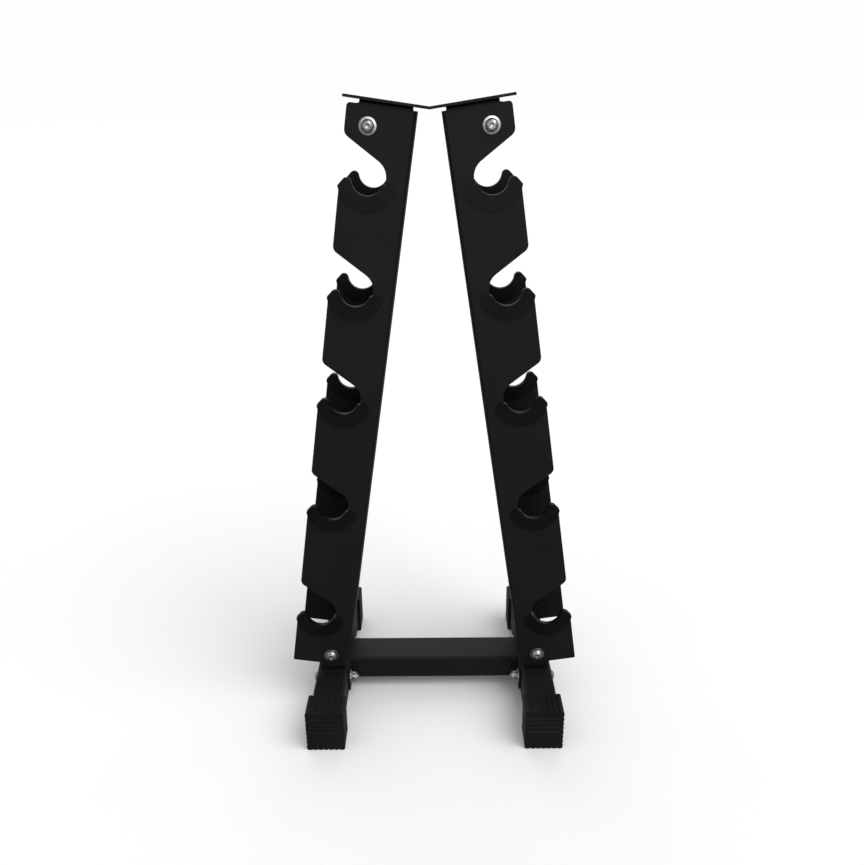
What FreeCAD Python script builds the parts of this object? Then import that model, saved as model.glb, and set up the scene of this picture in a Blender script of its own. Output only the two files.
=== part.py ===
"""Five-tier A-frame dumbbell rack, in millimetres.

Two folded channels lean towards each other on two foot tubes. Each channel has five hooks cut
in its front flange and five in its back flange, and every hook wears a moulded liner.

Frame: +Z up, +X to the right, the front of the rack looks along -Y. The origin is on the floor,
in the middle of the footprint. A tower is one channel with its liners: its own coordinates are
u (out from the web's inner face), y, and z (up along the channel from its lower end).
"""
import FreeCAD, Part
import math
import os

import Sketcher

DOC = FreeCAD.newDocument("dumbbell_rack")

# Driving sizes: name, value, meaning.
SIZES = [
    # cradles along a channel, from its lower end up
    ("lowest_cradle", 76.5, "lower end of a channel to the centre of tier 5's cradle"),
    ("pitch_five_four", 156.6, "cradle 5 to cradle 4"),
    ("pitch_four_three", 141.7, "cradle 4 to cradle 3"),
    ("pitch_three_two", 129.8, "cradle 3 to cradle 2"),
    ("pitch_two_one", 121.6, "cradle 2 to cradle 1"),
    ("head_length", 73.8, "centre of tier 1's cradle to the channel's upper end"),
    # channel section
    ("channel_depth", 100.0, "front flange face to back flange face"),
    ("flange_width", 73.0, "web's inner face to the flange's free edge"),
    ("sheet", 2.5, "thickness of the folded sheet"),
    ("bend_radius", 4.0, "outer radius of the channel's bends"),
    ("lean_angle", 8.45, "lean of each channel from upright, degrees"),
    ("top_gap", 26.4, "between the two webs at their upper ends"),
    # hook outline
    ("handle_radius", 17.0, "radius of a cradle, where the handle lies"),
    ("cradle_inset", 43.6, "web's inner face to the centre of a cradle"),
    ("throat_rise", 2.43, "straight run of an opening's inner edge above the cradle's centre"),
    ("slope_angle", 30.0, "slope of the opening's upper edge, degrees"),
    ("blade_round", 9.0, "radius at the outer end of the slope"),
    ("head_round", 4.0, "radius of a flange's upper outer corner"),
    ("toe_round", 2.0, "radius of a flange's lower outer corner"),
    # liner
    ("liner_rim", 3.0, "liner thickness between the handle and the sheet"),
    ("liner_side", 1.8, "liner thickness on each face of the sheet"),
    ("liner_clearance", 0.1, "gap between the liner's groove and each face of the sheet"),
    ("crescent_radius", 31.9, "outer arc of the liner"),
    ("crescent_drop", 1.8, "centre of the outer arc below the centre of the cradle"),
    ("inner_lobe_angle", 21.0, "inner lobe below the centre of the cradle, degrees"),
    ("outer_lobe_angle", 16.0, "outer lobe below the centre of the cradle, degrees"),
    ("outer_lobe_radius", 5.4, "radius of the outer lobe"),
    ("flank_angle", 35.0, "slant of the outer lobe's flank from upright, degrees"),
    ("hook_cover", 2.2, "liner thickness over the slanted side of the hook"),
    ("tip_round", 2.0, "rounding of the outer lobe's tip"),
    ("liner_edge", 0.7, "rounding of the liner's edges"),
    # feet
    ("foot_size", 40.0, "side of the square foot tube"),
    ("foot_wall", 2.0, "wall of the foot tube and the crossbar"),
    ("tube_corner", 3.2, "outer corner radius of the tubes"),
    ("foot_length", 279.2, "length of a foot tube, front to back"),
    ("foot_inset", 0.94, "channel's lower inner corner out to the foot tube's inner face"),
    ("cap_length", 34.5, "length of an end cap"),
    ("cap_end", 5.0, "thickness of a cap's closed end"),
    ("cap_wall", 4.0, "thickness of a cap beside the tube"),
    ("cap_top", 7.0, "thickness of a cap above the tube"),
    ("cap_sole", 10.0, "thickness of a cap under the tube"),
    ("cap_corner", 3.0, "corner radius of a cap"),
    ("flute_pitch", 6.7, "between two flutes of a cap"),
    ("flute_radius", 1.7, "radius of a flute"),
    ("flute_depth", 1.4, "depth of a flute"),
    ("end_flute_drop", 9.7, "top of a cap down to the highest flute of its closed end"),
    ("end_flute_border", 3.0, "plain border beside the flutes of a cap's closed end"),
    # crossbar
    ("bar_depth", 47.4, "crossbar, front to back"),
    ("bar_height", 33.0, "crossbar, height"),
    ("bar_drop", 0.6, "top of the crossbar below the top of the foot tubes"),
    ("end_plate_length", 100.0, "crossbar end plate, front to back"),
    ("end_plate_round", 8.0, "lower corner radius of a crossbar end plate"),
    ("end_plate_lift", 2.0, "bottom of a foot tube to the lower edge of an end plate"),
    ("bar_bolt_spacing", 76.0, "between the two bolts of a crossbar end plate"),
    # brackets
    ("channel_rise", 6.6, "channel's lower inner corner above the foot tube"),
    ("foot_bracket_width", 32.0, "foot bracket, along X"),
    ("foot_bracket_height", 36.0, "foot bracket, height"),
    ("lower_bolt_rise", 13.5, "lower end of a channel to its lower bolts"),
    ("head_bracket_inset", 5.6, "web's inner face to the near end of the head bracket"),
    ("head_bracket_length", 55.0, "head bracket, along the flange"),
    ("head_bracket_height", 40.0, "head bracket, height"),
    ("head_bolt_inset", 48.9, "web's inner face to the head bolts"),
    ("head_bolt_drop", 20.6, "channel's upper end to the head bolts"),
    # top plate
    ("plate_thickness", 3.0, "thickness of the top plate"),
    ("plate_rise", 4.2, "channel's upper end to the underside of the top plate"),
    ("plate_overhang", 4.7, "wing of the top plate beyond the flange's edge"),
    ("plate_side", 5.0, "top plate beyond the front and back flanges"),
    ("plate_bend", 8.0, "outer radius of the top plate's fold"),
    # fasteners, M8
    ("bolt_size", 8.0, "diameter of the bolts"),
    ("hole_play", 1.0, "bolt holes wider than the bolts"),
    ("thread_clearance", 0.1, "gap round a bolt in its nut"),
    ("bolt_head", 14.0, "diameter of the button heads"),
    ("bolt_head_crown", 7.0, "diameter of the flat crown of the button heads"),
    ("bolt_head_height", 4.4, "height of the button heads"),
    ("bolt_head_rim", 1.0, "straight rim of the button heads"),
    ("socket_width", 5.0, "hexagon socket, across flats"),
    ("socket_depth", 2.6, "depth of the hexagon socket"),
    ("flange_bolt_end", 1.4, "bolts through the flanges beyond their nuts"),
    ("bar_bolt_end", 2.3, "bolts through the foot tubes beyond their nuts"),
    ("washer_size", 19.0, "outer diameter of the washers"),
    ("washer_play", 0.4, "bore of the washers wider than the bolts"),
    ("washer_thickness", 1.6, "thickness of the washers"),
    ("nut_width", 13.0, "lock nut, across flats"),
    ("nut_height", 8.0, "height of the lock nuts"),
    ("nut_collar", 2.6, "height of the lock nuts' round collar"),
]

# Values that follow from the driving sizes: name, formula.
WORKED_OUT = [
    ("channel_length", "sizes.lowest_cradle + sizes.pitch_five_four + sizes.pitch_four_three"
                       " + sizes.pitch_three_two + sizes.pitch_two_one + sizes.head_length"),
    ("tier_five", "sizes.lowest_cradle"),
    ("tier_four", "tier_five + sizes.pitch_five_four"),
    ("tier_three", "tier_four + sizes.pitch_four_three"),
    ("tier_two", "tier_three + sizes.pitch_three_two"),
    ("tier_one", "tier_two + sizes.pitch_two_one"),
    ("half_depth", "sizes.channel_depth / 2"),
    ("inner_bend", "sizes.bend_radius - sizes.sheet"),
    ("edge_reach", "sizes.flange_width - sizes.cradle_inset"),
    # hook outline, from the centre of its cradle
    ("seat_radius", "sizes.handle_radius + sizes.liner_rim"),
    ("blade_tangent", "sizes.blade_round * tan(sizes.slope_angle)"),
    ("mouth_height", "sizes.throat_rise + seat_radius / cos(sizes.slope_angle)"
                     " + edge_reach * tan(sizes.slope_angle)"),
    # liner outline, from the centre of its cradle
    ("inner_lobe_radius",
     "(sizes.crescent_radius^2 - sizes.handle_radius^2 - sizes.crescent_drop^2"
     " + 2 * sizes.handle_radius * sizes.crescent_drop * sin(sizes.inner_lobe_angle))"
     " / (2 * (sizes.crescent_radius + sizes.handle_radius"
     " - sizes.crescent_drop * sin(sizes.inner_lobe_angle)))"),
    ("inner_lobe_x", "-(sizes.handle_radius + inner_lobe_radius) * cos(sizes.inner_lobe_angle)"),
    ("inner_lobe_z", "-(sizes.handle_radius + inner_lobe_radius) * sin(sizes.inner_lobe_angle)"),
    ("outer_lobe_x", "(sizes.handle_radius + sizes.outer_lobe_radius)"
                     " * cos(sizes.outer_lobe_angle)"),
    ("outer_lobe_z", "-(sizes.handle_radius + sizes.outer_lobe_radius)"
                     " * sin(sizes.outer_lobe_angle)"),
    ("flank_top_x", "outer_lobe_x + sizes.outer_lobe_radius * cos(sizes.flank_angle)"),
    ("flank_top_z", "outer_lobe_z + sizes.outer_lobe_radius * sin(sizes.flank_angle)"),
    ("flank_run", "flank_top_x * sin(sizes.flank_angle)"
                  " - (flank_top_z + sizes.crescent_drop) * cos(sizes.flank_angle)"),
    ("flank_length", "sqrt(flank_run^2 - flank_top_x^2 - (flank_top_z + sizes.crescent_drop)^2"
                     " + sizes.crescent_radius^2) - flank_run"),
    ("tip_x", "flank_top_x + flank_length * sin(sizes.flank_angle)"),
    ("tip_z", "flank_top_z - flank_length * cos(sizes.flank_angle)"),
    ("liner_width", "sizes.sheet + 2 * (sizes.liner_side + sizes.liner_clearance)"),
    # hook under the outer lobe
    ("hook_top_x", "flank_top_x - sizes.hook_cover * cos(sizes.flank_angle)"),
    ("hook_top_z", "flank_top_z - sizes.hook_cover * sin(sizes.flank_angle)"),
    ("hook_shoulder_z", "hook_top_z - (edge_reach - hook_top_x) / tan(sizes.flank_angle)"),
    ("seat_end_x", "sqrt(seat_radius^2 - hook_top_z^2)"),
    # heights above the floor, and places along X
    ("foot_top", "sizes.cap_sole + sizes.foot_size"),
    ("foot_middle", "sizes.cap_sole + sizes.foot_size / 2"),
    ("channel_foot_z", "foot_top + sizes.channel_rise"),
    ("channel_foot_x", "sizes.top_gap / 2 + channel_length * sin(sizes.lean_angle)"),
    ("foot_spacing", "2 * (channel_foot_x + sizes.foot_inset)"),
    ("foot_centre", "(foot_spacing + sizes.foot_size) / 2"),
    ("lower_bolt_inset", "(foot_centre - channel_foot_x"
                         " + sizes.lower_bolt_rise * sin(sizes.lean_angle))"
                         " / cos(sizes.lean_angle)"),
    ("lower_bolt_z", "channel_foot_z + lower_bolt_inset * sin(sizes.lean_angle)"
                     " + sizes.lower_bolt_rise * cos(sizes.lean_angle)"),
    ("inside_depth", "sizes.channel_depth - 2 * sizes.sheet"),
    ("bar_length", "foot_spacing - 2 * sizes.sheet"),
    ("bar_middle", "foot_top - sizes.bar_drop - sizes.bar_height / 2"),
    ("bolt_line", "sizes.bar_bolt_spacing / 2"),
    ("plate_fold_z", "channel_foot_z + channel_length * cos(sizes.lean_angle)"
                     " + sizes.plate_rise / cos(sizes.lean_angle)"
                     " - sizes.top_gap / 2 * tan(sizes.lean_angle)"),
    ("plate_wing", "(sizes.top_gap / 2) / cos(sizes.lean_angle) + sizes.flange_width"
                   " + sizes.plate_overhang - sizes.plate_rise * tan(sizes.lean_angle)"),
    ("plate_width", "sizes.channel_depth + 2 * sizes.plate_side"),
    ("cap_width", "sizes.foot_size + 2 * sizes.cap_wall"),
    ("cap_height", "sizes.cap_sole + sizes.foot_size + sizes.cap_top"),
    ("cap_far", "sizes.foot_length / 2 + sizes.cap_end"),
    ("cap_near", "cap_far - sizes.cap_length"),
    ("flute_offset", "sizes.flute_radius - sizes.flute_depth"),
    # fasteners
    ("bolt_hole", "sizes.bolt_size + sizes.hole_play"),
    ("washer_bore", "sizes.bolt_size + sizes.washer_play"),
    ("flange_bolt", "sizes.washer_thickness + 2 * sizes.sheet + sizes.nut_height"
                    " + sizes.flange_bolt_end"),
    ("bar_bolt", "sizes.sheet + sizes.foot_size + 2 * sizes.washer_thickness"
                 " + sizes.nut_height + sizes.bar_bolt_end"),
]

TIERS = ("one", "two", "three", "four", "five")
SIDES = ("left", "right")
ENDS = ("front", "back")
MARGIN = 5.0  # how far a cutting outline stands clear of the material
END_FLUTES = 4
UP = FreeCAD.Vector(0, 0, 1)
ALONG_X = FreeCAD.Vector(1, 0, 0)
ALONG_Y = FreeCAD.Vector(0, 1, 0)


# ---------------------------------------------------------------- sheets and values

def make_sheet(name, rows, prefix):
    """One row a value: its meaning or name, then the cell that carries the alias."""
    sheet = DOC.addObject("Spreadsheet::Sheet", name)
    for number, (alias, content, label) in enumerate(rows, start=1):
        sheet.set("A%d" % number, label)
        sheet.set("B%d" % number, "%s%s" % (prefix, content))
        sheet.setAlias("B%d" % number, alias)
    DOC.recompute()
    return sheet


SHEET = make_sheet("sizes", SIZES, "")
make_sheet("worked_out", [(name, formula, name) for name, formula in WORKED_OUT], "=")
WORKED_NAMES = {name for name, formula in WORKED_OUT}
SIZE_NAMES = {name for name, value, meaning in SIZES}


def tied(text):
    """Full expression for a formula that uses the plain names of the two sheets."""
    words = []
    word = ""
    for character in text + " ":
        if character.isalnum() or character == "_":
            word += character
            continue
        if word in WORKED_NAMES:
            word = "worked_out." + word
        elif word in SIZE_NAMES:
            word = "sizes." + word
        words.append(word + character)
        word = ""
    return "".join(words).strip()


def value(text):
    """Number that a formula has with the present sizes."""
    return float(SHEET.evalExpression(tied(str(text))))


# ---------------------------------------------------------------- building blocks

class Arc:
    """Arc from one corner of an outline to the next, about a centre; turn is 1 or -1."""

    def __init__(self, centre_x, centre_y, radius, turn):
        self.centre = (centre_x, centre_y)
        self.radius = radius
        self.turn = turn

    def middle(self, start, end):
        """Point half-way along the arc."""
        centre_x, centre_y = (value(part) for part in self.centre)
        first = math.atan2(start[1] - centre_y, start[0] - centre_x)
        last = math.atan2(end[1] - centre_y, end[0] - centre_x)
        sweep = (last - first) * self.turn % (2 * math.pi)
        angle = first + self.turn * sweep / 2
        radius = value(self.radius)
        return centre_x + radius * math.cos(angle), centre_y + radius * math.sin(angle)


def new_body(label):
    body = DOC.addObject("PartDesign::Body", label)
    body.Label = label
    return body


def origin_plane(body, role):
    return next(plane for plane in body.Origin.OriginFeatures if plane.Role == role)


def new_sketch(body, role, name, offset=None):
    """Sketch on one of the body's own planes; offset moves it within that plane."""
    sketch = body.newObject("Sketcher::SketchObject", name)
    sketch.AttachmentSupport = [(origin_plane(body, role), "")]
    sketch.MapMode = "FlatFace"
    if offset:
        sketch.setExpression("AttachmentOffset.Base.x", tied(offset[0]))
        sketch.setExpression("AttachmentOffset.Base.y", tied(offset[1]))
    return sketch


def tie(sketch, kind, arguments, formula):
    """Constraint whose value follows the sheets."""
    number = value(formula)
    index = sketch.addConstraint(Sketcher.Constraint(kind, *arguments, number))
    sketch.setExpression("Constraints[%d]" % index, tied(str(formula)))


def draw(sketch, corners):
    """Closed outline. A corner is (x, y), or (x, y, Arc) when an arc leaves it."""
    places = [(value(corner[0]), value(corner[1])) for corner in corners]
    ends = []
    for number, corner in enumerate(corners):
        start = places[number]
        end = places[(number + 1) % len(places)]
        start_point = FreeCAD.Vector(start[0], start[1], 0)
        end_point = FreeCAD.Vector(end[0], end[1], 0)
        if len(corner) == 3:
            middle = corner[2].middle(start, end)
            curve = Part.Arc(start_point, FreeCAD.Vector(middle[0], middle[1], 0), end_point)
            edge = sketch.addGeometry(curve, False)
            stored = sketch.getPoint(edge, 1)
            forward = stored.distanceToPoint(start_point) < stored.distanceToPoint(end_point)
            ends.append((edge, 1, 2) if forward else (edge, 2, 1))
        else:
            edge = sketch.addGeometry(Part.LineSegment(start_point, end_point), False)
            ends.append((edge, 1, 2))
    for number, corner in enumerate(corners):
        edge, first, last = ends[number]
        before, _, before_last = ends[number - 1]
        sketch.addConstraint(Sketcher.Constraint("Coincident", before, before_last, edge, first))
        tie(sketch, "DistanceX", (-1, 1, edge, first), corner[0])
        tie(sketch, "DistanceY", (-1, 1, edge, first), corner[1])
        if len(corner) == 3:
            tie(sketch, "Radius", (edge,), corner[2].radius)


def draw_circle(sketch, x, y, radius):
    circle = Part.Circle(FreeCAD.Vector(value(x), value(y), 0), FreeCAD.Vector(0, 0, 1),
                         value(radius))
    edge = sketch.addGeometry(circle, False)
    tie(sketch, "DistanceX", (-1, 1, edge, 3), x)
    tie(sketch, "DistanceY", (-1, 1, edge, 3), y)
    tie(sketch, "Radius", (edge,), radius)


def rounded_box(half_x, low_y, high_y, radius):
    """Corners of a rectangle about x = 0 with four rounded corners."""
    near = "(%s) - (%s)" % (half_x, radius)
    bottom = "(%s) + (%s)" % (low_y, radius)
    top = "(%s) - (%s)" % (high_y, radius)
    return [
        ("-(%s)" % near, low_y),
        (near, low_y, Arc(near, bottom, radius, 1)),
        (half_x, bottom),
        (half_x, top, Arc(near, top, radius, 1)),
        (near, high_y),
        ("-(%s)" % near, high_y, Arc("-(%s)" % near, top, radius, 1)),
        ("-(%s)" % half_x, top),
        ("-(%s)" % half_x, bottom, Arc("-(%s)" % near, bottom, radius, 1)),
    ]


def pad(body, sketch, name, length, both_ways=False):
    feature = body.newObject("PartDesign::Pad", name)
    feature.Profile = sketch
    feature.setExpression("Length", tied(length))
    feature.Midplane = both_ways
    sketch.Visibility = False
    return feature


def cut_through(body, sketch, name):
    """Pocket through everything, both ways from the sketch."""
    feature = body.newObject("PartDesign::Pocket", name)
    feature.Profile = sketch
    feature.Type = "ThroughAll"
    feature.Midplane = True
    sketch.Visibility = False
    return feature


def cut_between(body, sketch, name, width):
    """Pocket of a set width, half of it on each side of the sketch."""
    feature = body.newObject("PartDesign::Pocket", name)
    feature.Profile = sketch
    feature.setExpression("Length", tied(width))
    feature.Midplane = True
    sketch.Visibility = False
    return feature


def side_turn(side):
    """The left half of the rack is the right half turned half a circle about Z."""
    return FreeCAD.Rotation(UP, 180 if side == "left" else 0)


def on_tower(side, u, y, z):
    """Placement of something that is set up along a channel's own axes."""
    lean = FreeCAD.Rotation(ALONG_Y, -value("lean_angle"))
    foot = FreeCAD.Vector(value("channel_foot_x"), 0, value("channel_foot_z"))
    place = foot + lean.multVec(FreeCAD.Vector(value(u), value(y), value(z)))
    turn = side_turn(side)
    return FreeCAD.Placement(turn.multVec(place), turn.multiply(lean))


def on_foot(side, x, y, z):
    """Placement of something that stands level on the left or right half."""
    turn = side_turn(side)
    return FreeCAD.Placement(turn.multVec(FreeCAD.Vector(value(x), value(y), value(z))), turn)


# ---------------------------------------------------------------- channels

def hook_opening():
    """Outline cut away above one hook, about the centre of its cradle."""
    beyond = "edge_reach + %s" % MARGIN
    return [
        (beyond, "mouth_height + blade_tangent"),
        ("edge_reach", "mouth_height + blade_tangent",
         Arc("edge_reach - blade_round", "mouth_height + blade_tangent", "blade_round", -1)),
        ("edge_reach - blade_tangent * cos(slope_angle)",
         "mouth_height - blade_tangent * sin(slope_angle)"),
        ("-seat_radius * sin(slope_angle)", "throat_rise + seat_radius * cos(slope_angle)",
         Arc("0", "throat_rise", "seat_radius", 1)),
        ("-seat_radius", "throat_rise"),
        ("-seat_radius", "0", Arc("0", "0", "seat_radius", 1)),
        ("seat_end_x", "hook_top_z"),
        ("hook_top_x", "hook_top_z"),
        ("edge_reach", "hook_shoulder_z"),
        (beyond, "hook_shoulder_z"),
    ]


def corner_waste(corner_z, radius, upward):
    """Outline cut away to round a flange's outer corner."""
    sign = "-" if upward else "+"
    away = "+" if upward else "-"
    inside = "%s %s %s" % (corner_z, sign, radius)
    outside = "%s %s %s" % (corner_z, away, MARGIN)
    return [
        ("flange_width", inside,
         Arc("flange_width - %s" % radius, inside, radius, 1 if upward else -1)),
        ("flange_width - %s" % radius, corner_z),
        ("flange_width - %s" % radius, outside),
        ("flange_width + %s" % MARGIN, outside),
        ("flange_width + %s" % MARGIN, inside),
    ]


def channel_section():
    """Folded section of a channel, seen along it: web at u = 0, flanges at both ends of y."""
    return [
        ("flange_width", "-half_depth"),
        ("flange_width", "-half_depth + sheet"),
        ("bend_radius", "-half_depth + sheet",
         Arc("bend_radius", "-half_depth + bend_radius", "inner_bend", -1)),
        ("sheet", "-half_depth + bend_radius"),
        ("sheet", "half_depth - bend_radius",
         Arc("bend_radius", "half_depth - bend_radius", "inner_bend", -1)),
        ("bend_radius", "half_depth - sheet"),
        ("flange_width", "half_depth - sheet"),
        ("flange_width", "half_depth"),
        ("bend_radius", "half_depth",
         Arc("bend_radius", "half_depth - bend_radius", "bend_radius", 1)),
        ("0", "half_depth - bend_radius"),
        ("0", "-half_depth + bend_radius",
         Arc("bend_radius", "-half_depth + bend_radius", "bend_radius", 1)),
        ("bend_radius", "-half_depth"),
    ]


def make_channel(side):
    body = new_body("%s_channel" % side)
    section = new_sketch(body, "XY_Plane", "section")
    draw(section, channel_section())
    pad(body, section, "folded_sheet", "channel_length")
    for tier in TIERS:
        opening = new_sketch(body, "XZ_Plane", "opening_%s" % tier,
                             ("cradle_inset", "tier_%s" % tier))
        draw(opening, hook_opening())
        cut_through(body, opening, "hook_%s" % tier)
    corners = new_sketch(body, "XZ_Plane", "corners")
    draw(corners, corner_waste("channel_length", "head_round", True))
    draw(corners, corner_waste("0", "toe_round", False))
    cut_through(body, corners, "rounded_corners")
    holes = new_sketch(body, "XZ_Plane", "bolt_holes")
    draw_circle(holes, "head_bolt_inset", "channel_length - head_bolt_drop", "bolt_hole / 2")
    draw_circle(holes, "lower_bolt_inset", "lower_bolt_rise", "bolt_hole / 2")
    cut_through(body, holes, "flange_holes")
    body.Placement = on_tower(side, "0", "0", "0")
    return body


# ---------------------------------------------------------------- liners

def liner_outline():
    """Crescent with a lobe at each end, about the centre of its cradle."""
    inner_x = "-handle_radius * cos(inner_lobe_angle)"
    inner_z = "-handle_radius * sin(inner_lobe_angle)"
    outer_x = "handle_radius * cos(outer_lobe_angle)"
    outer_z = "-handle_radius * sin(outer_lobe_angle)"
    reach = "crescent_radius / (crescent_radius - inner_lobe_radius)"
    heel_x = "inner_lobe_x * %s" % reach
    heel_z = "(inner_lobe_z + crescent_drop) * %s - crescent_drop" % reach
    return [
        (inner_x, inner_z, Arc("0", "0", "handle_radius", 1)),
        (outer_x, outer_z, Arc("outer_lobe_x", "outer_lobe_z", "outer_lobe_radius", -1)),
        ("flank_top_x", "flank_top_z"),
        ("tip_x", "tip_z", Arc("0", "-crescent_drop", "crescent_radius", -1)),
        (heel_x, heel_z, Arc("inner_lobe_x", "inner_lobe_z", "inner_lobe_radius", -1)),
    ]


def liner_groove():
    """Outline of the sheet inside a liner: hook, seat and the stretch behind the seat."""
    below = "-crescent_drop - crescent_radius - %s" % MARGIN
    behind = "-crescent_radius - %s" % MARGIN
    return [
        ("-seat_radius", "0", Arc("0", "0", "seat_radius", 1)),
        ("seat_end_x", "hook_top_z"),
        ("hook_top_x", "hook_top_z"),
        ("edge_reach", "hook_shoulder_z"),
        ("edge_reach", below),
        (behind, below),
        (behind, "0"),
    ]


def rim_edges(shape, width):
    """Names of the edges that lie in one of the two outer faces of a liner."""
    names = []
    for number, edge in enumerate(shape.Edges, start=1):
        box = edge.BoundBox
        if box.YLength < width / 4 and abs(abs(box.Center.y) - width / 2) < width / 4:
            names.append("Edge%d" % number)
    return names


def tip_edge(shape):
    """Name of the edge that runs across a liner at the outer lobe's tip."""
    tip = FreeCAD.Vector(value("tip_x"), 0, value("tip_z"))
    nearest = min(range(len(shape.Edges)),
                  key=lambda number: shape.Edges[number].CenterOfMass.distanceToPoint(tip))
    return ["Edge%d" % (nearest + 1)]


def round_edges(body, base, name, edges, radius):
    feature = body.newObject("PartDesign::Fillet", name)
    feature.Base = (base, edges)
    feature.setExpression("Radius", tied(radius))
    DOC.recompute()
    return feature


def make_liner(side, end, tier):
    body = new_body("%s_%s_liner_%s" % (side, end, tier))
    outline = new_sketch(body, "XZ_Plane", "crescent")
    draw(outline, liner_outline())
    crescent = pad(body, outline, "moulding", "liner_width", both_ways=True)
    DOC.recompute()
    tipped = round_edges(body, crescent, "rounded_tip", tip_edge(crescent.Shape), "tip_round")
    round_edges(body, tipped, "softened_edges",
                rim_edges(tipped.Shape, value("liner_width")), "liner_edge")
    groove = new_sketch(body, "XZ_Plane", "groove")
    draw(groove, liner_groove())
    cut_between(body, groove, "sheet_groove", "sheet + 2 * liner_clearance")
    way = 1 if (end == "back") == (side == "right") else -1
    body.Placement = on_tower(side, "cradle_inset", "%d * (half_depth - sheet / 2)" % way,
                              "tier_%s" % tier)
    return body


# ---------------------------------------------------------------- top plate and its brackets

def make_top_plate():
    """Sheet folded to a shallow V that ties the two channels together."""
    body = new_body("top_plate")
    profile = new_sketch(body, "XZ_Plane", "profile")
    wing = "plate_wing"
    lift = "plate_thickness"
    bend = "plate_bend"
    inner = "plate_bend - plate_thickness"
    centre = "plate_bend / cos(lean_angle)"
    draw(profile, [
        ("-%s * sin(lean_angle)" % bend, "%s - %s * cos(lean_angle)" % (centre, bend),
         Arc("0", centre, bend, 1)),
        ("%s * sin(lean_angle)" % bend, "%s - %s * cos(lean_angle)" % (centre, bend)),
        ("%s * cos(lean_angle)" % wing, "%s * sin(lean_angle)" % wing),
        ("%s * cos(lean_angle) - %s * sin(lean_angle)" % (wing, lift),
         "%s * sin(lean_angle) + %s * cos(lean_angle)" % (wing, lift)),
        ("(%s) * sin(lean_angle)" % inner, "%s - (%s) * cos(lean_angle)" % (centre, inner),
         Arc("0", centre, inner, -1)),
        ("-(%s) * sin(lean_angle)" % inner, "%s - (%s) * cos(lean_angle)" % (centre, inner)),
        ("-(%s * cos(lean_angle) - %s * sin(lean_angle))" % (wing, lift),
         "%s * sin(lean_angle) + %s * cos(lean_angle)" % (wing, lift)),
        ("-%s * cos(lean_angle)" % wing, "%s * sin(lean_angle)" % wing),
    ])
    pad(body, profile, "folded_plate", "plate_width", both_ways=True)
    body.Placement = FreeCAD.Placement(FreeCAD.Vector(0, 0, value("plate_fold_z")),
                                       FreeCAD.Rotation())
    return body


def stirrup(height, base_down):
    """Folded U of sheet that fills the channel's inside depth; its base is at zero height."""
    half = "inside_depth / 2"
    sign = "" if base_down else "-"
    turn = 1 if base_down else -1

    def at(y, z):
        return y, "%s(%s)" % (sign, z)

    def bend(y, radius, way):
        return Arc(y, "%s(bend_radius)" % sign, radius, way * turn)

    return [
        at("-%s + bend_radius" % half, "0"),
        (*at("%s - bend_radius" % half, "0"), bend("%s - bend_radius" % half, "bend_radius", 1)),
        at(half, "bend_radius"),
        at(half, height),
        at("%s - sheet" % half, height),
        (*at("%s - sheet" % half, "bend_radius"),
         bend("%s - bend_radius" % half, "inner_bend", -1)),
        at("%s - bend_radius" % half, "sheet"),
        (*at("-%s + bend_radius" % half, "sheet"),
         bend("-%s + bend_radius" % half, "inner_bend", -1)),
        at("-%s + sheet" % half, "bend_radius"),
        at("-%s + sheet" % half, height),
        at("-%s" % half, height),
        (*at("-%s" % half, "bend_radius"),
         bend("-%s + bend_radius" % half, "bend_radius", 1)),
    ]


def make_head_bracket(side):
    """Folded stirrup under a wing of the top plate, bolted inside the channel's upper end."""
    body = new_body("%s_head_bracket" % side)
    section = new_sketch(body, "YZ_Plane", "section")
    draw(section, stirrup("head_bracket_height", base_down=False))
    pad(body, section, "folded_sheet", "head_bracket_length")
    hole = new_sketch(body, "XZ_Plane", "bolt_hole")
    draw_circle(hole, "head_bolt_inset - head_bracket_inset", "-plate_rise - head_bolt_drop",
                "bolt_hole / 2")
    cut_through(body, hole, "leg_holes")
    body.Placement = on_tower(side, "head_bracket_inset", "0", "channel_length + plate_rise")
    return body


def make_foot_bracket(side):
    """Folded stirrup on a foot tube, bolted inside the channel's lower end."""
    body = new_body("%s_foot_bracket" % side)
    section = new_sketch(body, "YZ_Plane", "section")
    draw(section, stirrup("foot_bracket_height", base_down=True))
    pad(body, section, "folded_sheet", "foot_bracket_width", both_ways=True)
    hole = new_sketch(body, "XZ_Plane", "bolt_hole")
    draw_circle(hole, "0", "lower_bolt_z - foot_top", "bolt_hole / 2")
    cut_through(body, hole, "leg_holes")
    body.Placement = on_foot(side, "foot_centre", "0", "foot_top")
    return body


# ---------------------------------------------------------------- feet and crossbar

def make_foot_tube(side):
    """Square tube from front to back, drilled across for the crossbar's bolts."""
    body = new_body("%s_foot_tube" % side)
    section = new_sketch(body, "XZ_Plane", "section")
    half = "foot_size / 2"
    draw(section, rounded_box(half, "-" + half, half, "tube_corner"))
    inside = "foot_size / 2 - foot_wall"
    draw(section, rounded_box(inside, "-(%s)" % inside, inside, "tube_corner - foot_wall"))
    pad(body, section, "tube", "foot_length", both_ways=True)
    holes = new_sketch(body, "YZ_Plane", "bolt_holes")
    for way in ("", "-"):
        draw_circle(holes, way + "bolt_line", "0", "bolt_hole / 2")
    cut_through(body, holes, "cross_holes")
    body.Placement = on_foot(side, "foot_centre", "0", "foot_middle")
    return body


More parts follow.
